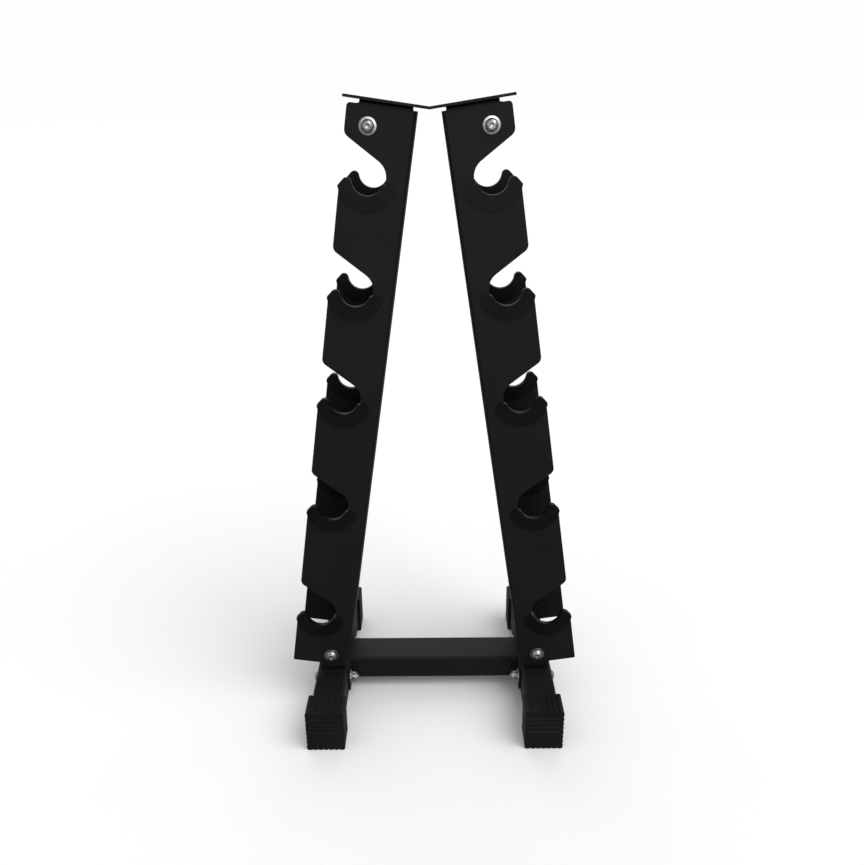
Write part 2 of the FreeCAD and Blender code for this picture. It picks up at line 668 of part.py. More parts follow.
def make_end_cap(side, end):
    """Moulded cap over one end of a foot tube, fluted all round and across its upper end."""
    body = new_body("%s_%s_cap" % (side, end))
    outline = new_sketch(body, "XZ_Plane", "outline")
    draw(outline, rounded_box("cap_width / 2", "0", "cap_height", "cap_corner"))
    block = pad(body, outline, "block", "cap_length")
    block.Reversed = True
    socket = new_sketch(body, "XZ_Plane", "socket_outline")
    draw(socket, rounded_box("foot_size / 2", "cap_sole", "cap_sole + foot_size", "tube_corner"))
    pocket = body.newObject("PartDesign::Pocket", "socket")
    pocket.Profile = socket
    pocket.setExpression("Length", tied("cap_length - cap_end"))
    pocket.Reversed = False
    socket.Visibility = False
    flutes = new_sketch(body, "XZ_Plane", "flute_circles")
    across = int(value("cap_width / flute_pitch - 1"))
    upward = int(value("cap_height / flute_pitch - 1"))
    for number in range(across):
        x = "(%s) * flute_pitch" % (number - (across - 1) / 2)
        draw_circle(flutes, x, "-flute_offset", "flute_radius")
        draw_circle(flutes, x, "cap_height + flute_offset", "flute_radius")
    for number in range(upward):
        z = "cap_height / 2 + (%s) * flute_pitch" % (number - (upward - 1) / 2)
        draw_circle(flutes, "cap_width / 2 + flute_offset", z, "flute_radius")
        draw_circle(flutes, "-(cap_width / 2 + flute_offset)", z, "flute_radius")
    cut_through(body, flutes, "flutes")
    bars = new_sketch(body, "YZ_Plane", "end_flute_circles")
    for number in range(END_FLUTES):
        draw_circle(bars, "cap_length + flute_offset",
                    "cap_height - end_flute_drop - %d * flute_pitch" % number, "flute_radius")
    cut_between(body, bars, "end_flutes", "cap_width - 2 * end_flute_border")
    place = on_foot(side, "foot_centre", "cap_near", "0")
    if (end == "front") == (side == "right"):
        turn = FreeCAD.Rotation(UP, 180)
        centre = FreeCAD.Vector(value("foot_centre"), -value("cap_near"), 0)
        place = FreeCAD.Placement(side_turn(side).multVec(centre), side_turn(side) * turn)
    body.Placement = place
    return body


def make_crossbar():
    body = new_body("crossbar")
    section = new_sketch(body, "YZ_Plane", "section")
    draw(section, rounded_box("bar_depth / 2", "-bar_height / 2", "bar_height / 2",
                              "tube_corner"))
    draw(section, rounded_box("bar_depth / 2 - foot_wall", "-bar_height / 2 + foot_wall",
                              "bar_height / 2 - foot_wall", "tube_corner - foot_wall"))
    pad(body, section, "tube", "bar_length", both_ways=True)
    body.Placement = FreeCAD.Placement(FreeCAD.Vector(0, 0, value("bar_middle")),
                                       FreeCAD.Rotation())
    return body


def make_end_plate(side):
    """Plate on the crossbar's end, bolted flat against the foot tube."""
    body = new_body("%s_end_plate" % side)
    outline = new_sketch(body, "YZ_Plane", "outline")
    half = "end_plate_length / 2"
    low = "end_plate_lift - foot_size / 2"
    soft = "end_plate_round"
    draw(outline, [
        ("-%s + %s" % (half, soft), low),
        ("%s - %s" % (half, soft), low, Arc("%s - %s" % (half, soft), "%s + %s" % (low, soft),
                                            soft, 1)),
        (half, "%s + %s" % (low, soft)),
        (half, "foot_size / 2"),
        ("-" + half, "foot_size / 2"),
        ("-" + half, "%s + %s" % (low, soft), Arc("-%s + %s" % (half, soft),
                                                 "%s + %s" % (low, soft), soft, 1)),
    ])
    for way in ("", "-"):
        draw_circle(outline, way + "bolt_line", "0", "bolt_hole / 2")
    pad(body, outline, "plate", "sheet")
    body.Placement = on_foot(side, "foot_spacing / 2 - sheet", "0", "foot_middle")
    return body


# ---------------------------------------------------------------- fasteners

def button_head_bolt(name, length):
    """Bolt along +Z from the underside of its domed head, with a hexagon socket."""
    body = new_body(name + "_turned")
    profile = new_sketch(body, "XZ_Plane", "half_profile")
    rise = "bolt_head_height - bolt_head_rim"
    flat = "bolt_head_crown / 2"
    # the dome's centre lies on the axis, this far inside the head's rim
    sphere_centre = ("(((bolt_head / 2)^2 - (%s)^2) - (%s)^2) / (2 * (%s))" % (flat, rise, rise))
    crown = "-bolt_head_height"
    rim = "-bolt_head_rim"
    centre_z = "-bolt_head_rim + %s" % sphere_centre
    radius = "sqrt((bolt_head / 2)^2 + (%s)^2)" % sphere_centre
    draw(profile, [
        ("0", crown),
        (flat, crown, Arc("0", centre_z, radius, 1)),
        ("bolt_head / 2", rim),
        ("bolt_head / 2", "0"),
        ("bolt_size / 2", "0"),
        ("bolt_size / 2", length),
        ("0", length),
    ])
    turned = body.newObject("PartDesign::Revolution", "turned")
    turned.Profile = profile
    turned.ReferenceAxis = (profile, ["V_Axis"])
    turned.Angle = 360
    profile.Visibility = False
    socket = DOC.addObject("Part::Prism", name + "_socket")
    socket.Polygon = 6
    socket.setExpression("Circumradius", tied("socket_width / 2 / cos(30)"))
    socket.setExpression("Height", tied("socket_depth"))
    socket.Placement = FreeCAD.Placement(FreeCAD.Vector(0, 0, -value("bolt_head_height")),
                                         FreeCAD.Rotation())
    bolt = DOC.addObject("Part::Cut", name)
    bolt.Base = body
    bolt.Tool = socket
    return bolt


def flat_washer(name):
    """Washer along +Z from its lower face."""
    disc = DOC.addObject("Part::Cylinder", name + "_disc")
    disc.setExpression("Radius", tied("washer_size / 2"))
    disc.setExpression("Height", tied("washer_thickness"))
    bore = DOC.addObject("Part::Cylinder", name + "_bore")
    bore.setExpression("Radius", tied("washer_bore / 2"))
    bore.setExpression("Height", tied("washer_thickness"))
    washer = DOC.addObject("Part::Cut", name)
    washer.Base = disc
    washer.Tool = bore
    return washer


def lock_nut(name):
    """Hexagon nut along +Z from its seat, with a round collar at its far end."""
    hexagon = DOC.addObject("Part::Prism", name + "_hexagon")
    hexagon.Polygon = 6
    hexagon.setExpression("Circumradius", tied("nut_width / 2 / cos(30)"))
    hexagon.setExpression("Height", tied("nut_height - nut_collar"))
    collar = DOC.addObject("Part::Cylinder", name + "_collar")
    collar.setExpression("Radius", tied("nut_width / 2 - thread_clearance"))
    collar.setExpression("Height", tied("nut_height"))
    outside = DOC.addObject("Part::Fuse", name + "_outside")
    outside.Base = hexagon
    outside.Tool = collar
    bore = DOC.addObject("Part::Cylinder", name + "_bore")
    bore.setExpression("Radius", tied("bolt_size / 2 + thread_clearance"))
    bore.setExpression("Height", tied("nut_height"))
    nut = DOC.addObject("Part::Cut", name)
    nut.Base = outside
    nut.Tool = bore
    return nut


def group_of(label, pattern, places):
    """Copies of one fastener as separate solids of one sub-part."""
    DOC.recompute()
    copies = []
    for place in places:
        copy = pattern.Shape.copy()
        copy.Placement = place.multiply(copy.Placement)
        copies.append(copy)
    group = DOC.addObject("Part::Feature", label)
    group.Label = label
    group.Shape = Part.makeCompound(copies)
    return group


def facing(direction):
    """Turn that points a fastener's +Z along a direction."""
    return FreeCAD.Rotation(UP, direction)


def flange_places(side_place, depth):
    """Front and back places of a fastener on a flange; depth is inwards from its outer face."""
    places = []
    for side in SIDES:
        for way in (-1, 1):
            y = "%d * (half_depth - (%s))" % (way, depth)
            spot = side_place(side, y)
            inwards = spot.Rotation * facing(FreeCAD.Vector(0, -way, 0))
            places.append(FreeCAD.Placement(spot.Base, inwards))
    return places


def head_spot(side, y):
    return on_tower(side, "head_bolt_inset", y, "channel_length - head_bolt_drop")


def lower_spot(side, y):
    return on_tower(side, "lower_bolt_inset", y, "lower_bolt_rise")


def cross_places(x):
    """Places on the two bolt lines of both foot tubes, pointing in; x is on the right half."""
    places = []
    for side in SIDES:
        for way in ("", "-"):
            spot = on_foot(side, x, way + "bolt_line", "foot_middle")
            places.append(FreeCAD.Placement(spot.Base, spot.Rotation * facing(-ALONG_X)))
    return places


def make_fasteners():
    flange_bolt = button_head_bolt("flange_bolt_pattern", "flange_bolt")
    bar_bolt = button_head_bolt("bar_bolt_pattern", "bar_bolt")
    washer = flat_washer("washer_pattern")
    nut = lock_nut("nut_pattern")
    groups = []
    for label, spot in (("head", head_spot), ("lower", lower_spot)):
        groups.append(group_of("%s_bolts" % label, flange_bolt,
                               flange_places(spot, "-washer_thickness")))
        groups.append(group_of("%s_washers" % label, washer,
                               flange_places(spot, "-washer_thickness")))
        groups.append(group_of("%s_nuts" % label, nut, flange_places(spot, "2 * sheet")))
    inner = "foot_spacing / 2 - sheet - washer_thickness"
    outer = "foot_spacing / 2 + foot_size"
    groups.append(group_of("crossbar_bolts", bar_bolt,
                           cross_places(outer + " + washer_thickness")))
    groups.append(group_of("crossbar_outer_washers", washer,
                           cross_places(outer + " + washer_thickness")))
    groups.append(group_of("crossbar_inner_washers", washer,
                           cross_places(inner + " + washer_thickness")))
    groups.append(group_of("crossbar_nuts", nut, cross_places(inner)))
    return groups


# ---------------------------------------------------------------- the whole rack

def make_rack():
    """Every sub-part of the rack, each in its place."""
    parts = [make_top_plate(), make_crossbar()]
    for side in SIDES:
        parts.append(make_channel(side))
        parts.append(make_head_bracket(side))
        parts.append(make_foot_bracket(side))
        parts.append(make_foot_tube(side))
        parts.append(make_end_plate(side))
        for end in ENDS:
            parts.append(make_end_cap(side, end))
            for tier in TIERS:
                parts.append(make_liner(side, end, tier))
    parts.extend(make_fasteners())
    return parts


def check_document():
    """Stop if any object failed, because a recompute doesn't."""
    DOC.recompute()
    for item in DOC.Objects:
        if "Invalid" in item.State or "Error" in item.State:
            raise RuntimeError("%s failed: %s" % (item.Name, item.State))


def write_parts(parts):
    """One STEP file a sub-part, named by its label."""
    for part in parts:
        if part.Shape.isNull() or not part.Shape.isValid():
            raise RuntimeError("%s has no valid shape" % part.Label)
    os.makedirs("parts", exist_ok=True)
    for part in parts:
        part.Shape.exportStep(os.path.join("parts", part.Label + ".step"))
        print("%-28s solids %2d  volume %9.1f mm3" % (
            part.Label, len(part.Shape.Solids), part.Shape.Volume))


RACK = make_rack()
check_document()
write_parts(RACK)
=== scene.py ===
"""Visual model of a five-tier dumbbell rack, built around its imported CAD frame.

Two folded channels lean on each other over two foot tubes. Everything is in metres, +Z is up, the
front looks along -Y, and the origin is on the floor in the middle of the footprint.
"""
import logging
import math
from collections.abc import Callable, Sequence
from dataclasses import dataclass, field
from enum import Enum
from typing import Any

import bmesh
import bpy
from mathutils import Matrix, Vector


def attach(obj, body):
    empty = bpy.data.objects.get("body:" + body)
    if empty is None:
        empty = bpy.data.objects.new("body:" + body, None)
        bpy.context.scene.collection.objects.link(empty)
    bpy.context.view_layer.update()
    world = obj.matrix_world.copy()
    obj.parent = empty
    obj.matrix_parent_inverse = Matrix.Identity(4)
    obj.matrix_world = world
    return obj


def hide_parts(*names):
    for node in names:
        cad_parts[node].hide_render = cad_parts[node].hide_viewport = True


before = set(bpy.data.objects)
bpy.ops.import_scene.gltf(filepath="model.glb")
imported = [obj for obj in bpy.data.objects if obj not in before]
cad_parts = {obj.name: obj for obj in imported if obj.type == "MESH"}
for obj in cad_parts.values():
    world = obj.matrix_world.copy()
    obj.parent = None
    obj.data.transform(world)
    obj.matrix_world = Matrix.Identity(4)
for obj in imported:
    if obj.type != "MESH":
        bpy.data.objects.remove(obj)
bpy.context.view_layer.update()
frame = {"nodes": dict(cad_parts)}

LOG = logging.getLogger("dumbbell_rack")
MM = 0.001
ROOT = "root"
TIERS = ("one", "two", "three", "four", "five")

Point2 = tuple[float, float]


class Side(Enum):
    """Half of the rack: the left half is the right one turned half a circle about Z."""

    LEFT = "left"
    RIGHT = "right"

    @property
    def turn(self) -> Matrix:
        """Turn from the right half to this one."""
        return Matrix.Rotation(math.pi if self is Side.LEFT else 0.0, 4, "Z")


class End(Enum):
    """Front or back of the rack, with the direction it looks in."""

    FRONT = -1
    BACK = 1


# ------------------------------------------------------------------ node trees

class Wire:
    """Socket of a node tree that takes part in Python arithmetic."""

    def __init__(self, bench: "Bench", socket: bpy.types.NodeSocket) -> None:
        """Keep the socket and the tree it belongs to."""
        self.bench = bench
        self.socket = socket

    def _math(self, operation: str, first: Any, second: Any) -> "Wire":
        """Add one Math node.

        Args:
            operation: the node's operation, such as "ADD".
            first: left-hand wire or number.
            second: right-hand wire or number.

        Returns:
            The node's value.
        """
        return self.bench.node("ShaderNodeMath", {"operation": operation},
                               {0: first, 1: second}).out(0)

    def __add__(self, other: Any) -> "Wire":
        """Sum."""
        return self._math("ADD", self, other)

    def __radd__(self, other: Any) -> "Wire":
        """Sum, number first."""
        return self._math("ADD", other, self)

    def __sub__(self, other: Any) -> "Wire":
        """Difference."""
        return self._math("SUBTRACT", self, other)

    def __rsub__(self, other: Any) -> "Wire":
        """Difference, number first."""
        return self._math("SUBTRACT", other, self)

    def __mul__(self, other: Any) -> "Wire":
        """Product."""
        return self._math("MULTIPLY", self, other)

    def __rmul__(self, other: Any) -> "Wire":
        """Product, number first."""
        return self._math("MULTIPLY", other, self)

    def __truediv__(self, other: Any) -> "Wire":
        """Quotient."""
        return self._math("DIVIDE", self, other)

    def __rtruediv__(self, other: Any) -> "Wire":
        """Quotient, number first."""
        return self._math("DIVIDE", other, self)

    def power(self, exponent: float) -> "Wire":
        """Value raised to an exponent."""
        return self._math("POWER", self, exponent)


class Made:
    """Node that has been added, with its outputs as wires."""

    def __init__(self, bench: "Bench", node: bpy.types.Node) -> None:
        """Keep the node and its tree."""
        self.bench = bench
        self.node = node

    def out(self, key: int | str) -> Wire:
        """Output of the node, by number or name."""
        return Wire(self.bench, self.node.outputs[key])


class Bench:
    """Adds nodes to one shader or geometry tree."""

    def __init__(self, tree: bpy.types.NodeTree) -> None:
        """Start on a tree."""
        self.tree = tree

    def node(self, kind: str, settings: dict[str, Any] | None = None,
             inputs: dict[int | str, Any] | None = None) -> Made:
        """Add a node of any kind.

        Args:
            kind: the node's type.
            settings: its properties, set first; "stops" holds a ramp's (place, colour) pairs.
            inputs: the value or wire of each input, by number or name.

        Returns:
            The node that was made.
        """
        node = self.tree.nodes.new(kind)
        for name, content in (settings or {}).items():
            if name == "stops":
                self._set_stops(node.color_ramp, content)
            else:
                setattr(node, name, content)
        for key, content in (inputs or {}).items():
            if isinstance(content, Wire):
                self.tree.links.new(content.socket, node.inputs[key])
            else:
                node.inputs[key].default_value = content
        return Made(self, node)

    @staticmethod
    def _set_stops(ramp: bpy.types.ColorRamp, stops: Sequence[tuple[float, tuple]]) -> None:
        """Give a ramp its stops, in order."""
        while len(ramp.elements) < len(stops):
            ramp.elements.new(1.0)
        for element, (place, colour) in zip(ramp.elements, stops):
            element.position = place
            element.color = colour


# ------------------------------------------------------------------ finishes

OCTAVE_STRENGTH = 0.55


@dataclass(frozen=True)
class Finish:
    """Coat that every finish shares: a dark or bright base with a fine relief."""

    name: str
    colour: tuple[float, float, float]
    second_colour: tuple[float, float, float]
    roughness: float
    roughness_spread: float
    specular: float
    grain_size: float
    grain_depth: float
    metallic: float = 0.0
    cloud_size: float = 50.0 * MM
    cloud_detail: float = 3.0
    grain_detail: float = 2.0
    patch_edges: tuple[float, float] = (0.35, 0.7)

    def build(self) -> bpy.types.Material:
        """Make the material.

        Returns:
            A node material with its colour, roughness and relief varied over Object coordinates.
        """
        material = bpy.data.materials.new(self.name)
        material.use_nodes = True
        tree = material.node_tree
        tree.nodes.clear()
        bench = Bench(tree)
        place = bench.node("ShaderNodeTexCoord").out("Object")
        clouds = self._noise(bench, place, 1.0 / self.cloud_size, self.cloud_detail)
        grain = self._noise(bench, place, 1.0 / self.grain_size, self.grain_detail)
        relief = self.relief(bench, place, grain)
        colour = bench.node("ShaderNodeMix", {"data_type": "RGBA"}, {
            "Factor": self.wear(bench, place, clouds),
            6: (*self.colour, 1.0), 7: (*self.second_colour, 1.0)}).out(2)
        bump = bench.node("ShaderNodeBump", None, {
            "Strength": 1.0, "Distance": self.grain_depth, "Height": relief}).out("Normal")
        rough = self.roughness + (clouds + grain - 1.0) * self.roughness_spread
        shader = bench.node("ShaderNodeBsdfPrincipled", None, {
            "Base Color": colour, "Roughness": rough, "Metallic": self.metallic,
            "Specular IOR Level": self.specular, "Normal": bump}).out("BSDF")
        bench.node("ShaderNodeOutputMaterial", None, {"Surface": shader})
        return material

    @staticmethod
    def _noise(bench: Bench, place: Wire, scale: float, detail: float) -> Wire:
        """Noise from 0 to 1 over a place, at a scale in cells a metre."""
        return bench.node("ShaderNodeTexNoise", None, {
            "Vector": place, "Scale": scale, "Detail": detail,
            "Roughness": OCTAVE_STRENGTH}).out("Fac")

    def relief(self, bench: Bench, place: Wire, grain: Wire) -> Wire:
        """Height that the bump follows."""
        return grain

    def wear(self, bench: Bench, place: Wire, clouds: Wire) -> Wire:
        """How much of the second colour shows."""
        start, full = self.patch_edges
        return bench.node("ShaderNodeValToRGB", {
            "stops": ((start, (0, 0, 0, 1)), (full, (1, 1, 1, 1)))}, {"Fac": clouds}).out("Color")


@dataclass(frozen=True)
class PowderCoat(Finish):
    """Black powder coat: an orange-peel skin with a few finer specks."""

    speck_size: float = 0.35 * MM
    speck_detail: float = 1.0
    speck_share: float = 0.3

    def relief(self, bench: Bench, place: Wire, grain: Wire) -> Wire:
        """Soft orange peel with specks on it."""
        specks = self._noise(bench, place, 1.0 / self.speck_size, self.speck_detail)
        return grain * (1.0 - self.speck_share) + specks * self.speck_share


@dataclass(frozen=True)
class Plating(Finish):
    """Bright zinc: faint scratches and cloudy patches."""

    scratch_stretch: float = 6.0
    scratch_width: float = 2.0
    scratch_share: float = 0.6

    def relief(self, bench: Bench, place: Wire, grain: Wire) -> Wire:
        """Fine scratches stretched along one direction, with some grain."""
        stretched = bench.node("ShaderNodeMapping", None, {
            "Vector": place, "Scale": (1.0, 1.0, self.scratch_stretch)}).out("Vector")
        scale = 1.0 / (self.scratch_width * self.grain_size)
        lines = self._noise(bench, stretched, scale, self.grain_detail)
        return lines * self.scratch_share + grain * (1.0 - self.scratch_share)


@dataclass(frozen=True)
class Finishes:
    """The rack's four finishes, each in a field named after the slot that it belongs to."""

    frame: bpy.types.Material
    liner: bpy.types.Material
    foot_cap: bpy.types.Material
    fastener: bpy.types.Material

    @classmethod
    def mix(cls) -> "Finishes":
        """Build all four."""
        coat = PowderCoat(
            "black_powder_coat", (0.0060, 0.0060, 0.0062), (0.0082, 0.0082, 0.0084),
            roughness=0.52, roughness_spread=0.10, specular=0.18,
            grain_size=1.1 * MM, grain_depth=0.05 * MM)
        plastic = Finish(
            "moulded_black_plastic", (0.0026, 0.0026, 0.0029), (0.0038, 0.0038, 0.0041),
            roughness=0.38, roughness_spread=0.08, specular=0.15,
            grain_size=0.8 * MM, grain_depth=0.02 * MM)
        rubber = Finish(
            "black_rubber", (0.0038, 0.0038, 0.0040), (0.0075, 0.0075, 0.0077),
            roughness=0.50, roughness_spread=0.12, specular=0.17,
            grain_size=0.6 * MM, grain_depth=0.04 * MM)
        zinc = Plating(
            "bright_zinc", (0.46, 0.455, 0.44), (0.24, 0.25, 0.245),
            roughness=0.27, roughness_spread=0.14, specular=0.5,
            grain_size=1.2 * MM, grain_depth=0.012 * MM, metallic=1.0, cloud_size=4.0 * MM)
        return cls(frame=coat.build(), liner=plastic.build(), foot_cap=rubber.build(),
                   fastener=zinc.build())


# ------------------------------------------------------------------ shared mesh work

def arc(centre: Point2, radius: float, start: float, end: float, steps: int) -> list[Point2]:
    """Points along an arc, both ends among them.

    Args:
        centre: centre of the arc.
        radius: radius of the arc.
        start: first angle in degrees.
        end: last angle in degrees; a smaller one runs clockwise.
        steps: number of chords.

    Returns:
        steps + 1 points.
    """
    angles = (math.radians(start + (end - start) * n / steps) for n in range(steps + 1))
    return [(centre[0] + radius * math.cos(a), centre[1] + radius * math.sin(a)) for a in angles]


def rounded_rectangle(width: float, height: float, radius: float, steps: int) -> list[Point2]:
    """Outline of a rounded rectangle about the origin, anticlockwise."""
    x, y = width / 2 - radius, height / 2 - radius
    corners = ((x, -y, -90), (x, y, 0), (-x, y, 90), (-x, -y, 180))
    return [p for cx, cy, a in corners for p in arc((cx, cy), radius, a, a + 90, steps)]


def new_object(name: str, shape: bmesh.types.BMesh) -> bpy.types.Object:
    """Object in the scene made from a bmesh, which is freed."""
    mesh = bpy.data.meshes.new(name)
    shape.to_mesh(mesh)
    shape.free()
    made = bpy.data.objects.new(name, mesh)
    bpy.context.scene.collection.objects.link(made)
    return made


def prism(name: str, outline: Sequence[Point2], low: float, high: float,
          place: Callable[[float, float, float], Vector],
          hole: Sequence[Point2] = ()) -> bpy.types.Object:
    """Closed prism on an outline, with an open tube's inner wall if it has a hole.

    Args:
        name: name of the object.
        outline: corners in order.
        low: where the prism starts on its axis.
        high: where it ends.
        place: point in space for a corner's two numbers and a place on the axis.
        hole: as many corners as the outline has, for a tube.

    Returns:
        The new object, faces outwards.
    """
    shape = bmesh.new()
    loops = [[[shape.verts.new(place(*p, at)) for p in line] for at in (low, high)]
             for line in ((outline, hole) if hole else (outline,))]
    for near, far in loops:
        for n in range(len(near)):
            m = (n + 1) % len(near)
            shape.faces.new((near[n], near[m], far[m], far[n]))
    for which in (0, 1):
        if hole:
            outer, inner = loops[0][which], loops[1][which]
            for n in range(len(outer)):
                m = (n + 1) % len(outer)
                shape.faces.new((outer[n], outer[m], inner[m], inner[n]))
        else:
            shape.faces.new(loops[0][which])
    bmesh.ops.recalc_face_normals(shape, faces=shape.faces)
    return new_object(name, shape)


def soften(made: bpy.types.Object, width: float, segments: int = 2, angle: float = 50.0) -> None:
    """Add a rounding of the edges that are sharper than an angle in degrees."""
    bevel = made.modifiers.new("soft_edges", "BEVEL")
    bevel.width = width
    bevel.segments = segments
    bevel.limit_method = "ANGLE"
    bevel.angle_limit = math.radians(angle)
    bevel.use_clamp_overlap = True


def bake(made: bpy.types.Object) -> bpy.types.Mesh:
    """Turn an object with modifiers into a plain mesh in its place, and return the mesh."""
    made.update_tag()
    graph = bpy.context.evaluated_depsgraph_get()
    graph.update()
    mesh = bpy.data.meshes.new_from_object(made.evaluated_get(graph))
    old = made.data
    made.modifiers.clear()
    made.data = mesh
    mesh.name = made.name
    if old.users == 0:
        bpy.data.meshes.remove(old)
    return mesh


def settle(made: bpy.types.Object, matrix: Matrix | None = None,
           smooth_angle: float = 32.0, flat_faces: bool = True) -> bpy.types.Object:
    """Apply an object's modifiers, put its mesh in its place and shade it.

    Args:
        made: the object.
        matrix: where its mesh goes.
        smooth_angle: edges sharper than this stay sharp, in degrees.
        flat_faces: whether large faces keep their own direction, so that only the rounded
            edges shade softly.

    Returns:
        The same object, with no modifiers.
    """
    mesh = bake(made)
    if matrix is not None:
        mesh.transform(matrix)
    mesh.polygons.foreach_set("use_smooth", [True] * len(mesh.polygons))
    mesh.set_sharp_from_angle(angle=math.radians(smooth_angle))
    if flat_faces:
        weighted = made.modifiers.new("flat_faces", "WEIGHTED_NORMAL")
        weighted.keep_sharp = True
        bake(made)
    return made


def discard(*helpers: bpy.types.Object) -> None:
    """Remove helper objects and their meshes."""
    for helper in helpers:
        mesh = helper.data
        bpy.data.objects.remove(helper)
        bpy.data.meshes.remove(mesh)


def hand_over(made: bpy.types.Object, material: bpy.types.Material, slot: str,
              *nodes: str) -> None:
    """Dress a finished piece and say what it stands for.

    Args:
        made: the piece, as a plain mesh.
        material: its finish.
        slot: not used.
        nodes: CAD nodes that it replaces.
    """
    made.data.materials.clear()
    made.data.materials.append(material)
    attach(made, ROOT)
    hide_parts(*nodes)
    LOG.info("%s: %d faces, stands for %s", made.name, len(made.data.polygons), ", ".join(nodes))


# ------------------------------------------------------------------ sizes and places

@dataclass(frozen=True)
class Rack:
    """Sizes that the sub-assemblies share."""

    lean: float = math.radians(8.45)
    top_gap: float = 26.4 * MM
    depth: float = 100.0 * MM
    sheet: float = 2.5 * MM
    bend: float = 4.0 * MM
    flange: float = 73.0 * MM
    cradle_inset: float = 43.6 * MM
    foot_top: float = 50.0 * MM
    foot_size: float = 40.0 * MM
    foot_length: float = 279.2 * MM
    tube_corner: float = 3.2 * MM
    foot_inset: float = 0.94 * MM
    rise: float = 6.6 * MM
    lowest: float = 76.5 * MM
    pitches: tuple[float, ...] = (156.6 * MM, 141.7 * MM, 129.8 * MM, 121.6 * MM)
    head: float = 73.8 * MM

    @property
    def tiers(self) -> dict[str, float]:
        """Height of each tier's cradle along the channel."""
        heights = [self.lowest]
        for pitch in self.pitches:
            heights.append(heights[-1] + pitch)
        return dict(zip(TIERS, reversed(heights)))

    @property
    def length(self) -> float:
        """Length of a channel."""
        return self.lowest + sum(self.pitches) + self.head

    @property
    def edge_reach(self) -> float:
        """From a cradle's centre out to the flange's edge."""
        return self.flange - self.cradle_inset

    @property
    def foot_spacing(self) -> float:
        """Between the inner faces of the two foot tubes."""
        return 2 * (self.toe.x + self.foot_inset)

    @property
    def foot_centre(self) -> float:
        """Middle of the right foot tube, along X."""
        return (self.foot_spacing + self.foot_size) / 2

    @property
    def foot_middle(self) -> float:
        """Height of the foot tubes' middle."""
        return self.foot_top - self.foot_size / 2

    @property
    def toe(self) -> Vector:
        """Lower inner corner of the right channel."""
        return Vector((self.top_gap / 2 + self.length * math.sin(self.lean), 0,
                       self.foot_top + self.rise))

    def tower(self, side: Side) -> Matrix:
        """Matrix from a channel's own axes to the rack's."""
        return (side.turn @ Matrix.Translation(self.toe)
                @ Matrix.Rotation(-self.lean, 4, "Y"))


@dataclass(frozen=True)
class Cradle:
    """Section of a hook and its liner, about the centre of the handle that lies in it."""

    handle: float = 17.0 * MM
    rim: float = 3.0 * MM
    crescent: float = 31.9 * MM
    crescent_drop: float = 1.8 * MM
    inner_lobe_angle: float = 21.0
    outer_lobe_angle: float = 16.0
    outer_lobe: float = 5.4 * MM
    flank: float = 35.0
    hook_cover: float = 2.2 * MM
    tip_round: float = 2.0 * MM
    seat_steps: int = 28

    @property
    def seat(self) -> float:
        """Radius of the sheet's seat, under the liner."""
        return self.handle + self.rim

    @property
    def nose(self) -> Vector:
        """Centre of the outer lobe."""
        dip = math.radians(self.outer_lobe_angle)
        return (self.handle + self.outer_lobe) * Vector((math.cos(dip), -math.sin(dip)))

    @property
    def outwards(self) -> Vector:
        """Direction that the outer lobe's flank looks in."""
        flank = math.radians(self.flank)
        return Vector((math.cos(flank), math.sin(flank)))

    @property
    def hook_top(self) -> Vector:
        """Outer end of the sheet's top, under the outer lobe."""
        return self.nose + (self.outer_lobe - self.hook_cover) * self.outwards

    @property
    def seat_end(self) -> Vector:
        """Where the seat meets the sheet's top."""
        height = self.hook_top.y
        return Vector((math.sqrt(self.seat ** 2 - height ** 2), height))

    def shoulder(self, reach: float) -> Vector:
        """Where the hook's slanted side meets the flange's edge, a reach out from the centre."""
        slant = math.tan(math.radians(self.flank))
        return Vector((reach, self.hook_top.y - (reach - self.hook_top.x) / slant))

    def crescent_outline(self) -> list[Point2]:
        """Outline of the liner, anticlockwise from the inner lobe."""
        handle, outer, drop, soft = self.handle, self.crescent, self.crescent_drop, self.tip_round
        dip = math.radians(self.inner_lobe_angle)
        lobe = ((outer ** 2 - handle ** 2 - drop ** 2 + 2 * handle * drop * math.sin(dip))
                / (2 * (outer + handle - drop * math.sin(dip))))
        inner = Vector((-math.cos(dip), -math.sin(dip))) * (handle + lobe)
        centre = Vector((0.0, -drop))
        down = Vector((self.outwards.y, -self.outwards.x))
        start = self.nose + (self.outer_lobe - soft) * self.outwards - centre
        run = start.dot(down)
        tip = start + down * (math.sqrt(run ** 2 - start.length_squared
                                        + (outer - soft) ** 2) - run)
        tip_angle = math.degrees(math.atan2(tip.y, tip.x))
        heel_angle = math.degrees(math.atan2(inner.y + drop, inner.x)) % 360 - 360
        return [
            *arc((0, 0), handle, self.inner_lobe_angle - 180, -self.outer_lobe_angle, 40),
            *arc(self.nose, self.outer_lobe, 180 - self.outer_lobe_angle, self.flank, 12)[1:],
            *arc(tip + centre, soft, self.flank, tip_angle, 8),
            *arc(centre, outer, tip_angle, heel_angle, 44)[1:],
            *arc(inner, lobe, heel_angle, -360 - self.inner_lobe_angle, 12)[1:-1]]

    def sheet_outline(self, reach: float) -> list[Point2]:
        """Outline of the hook inside the liner, carried on past the liner's far edge."""
        below = -2 * self.crescent
        top = math.degrees(math.atan2(self.seat_end.y, self.seat_end.x))
        return [*arc((0, 0), self.seat, -180, top, self.seat_steps), self.hook_top, self.shoulder(reach),
                (reach, below), (below, below), (below, 0.0)]


# ------------------------------------------------------------------ channels

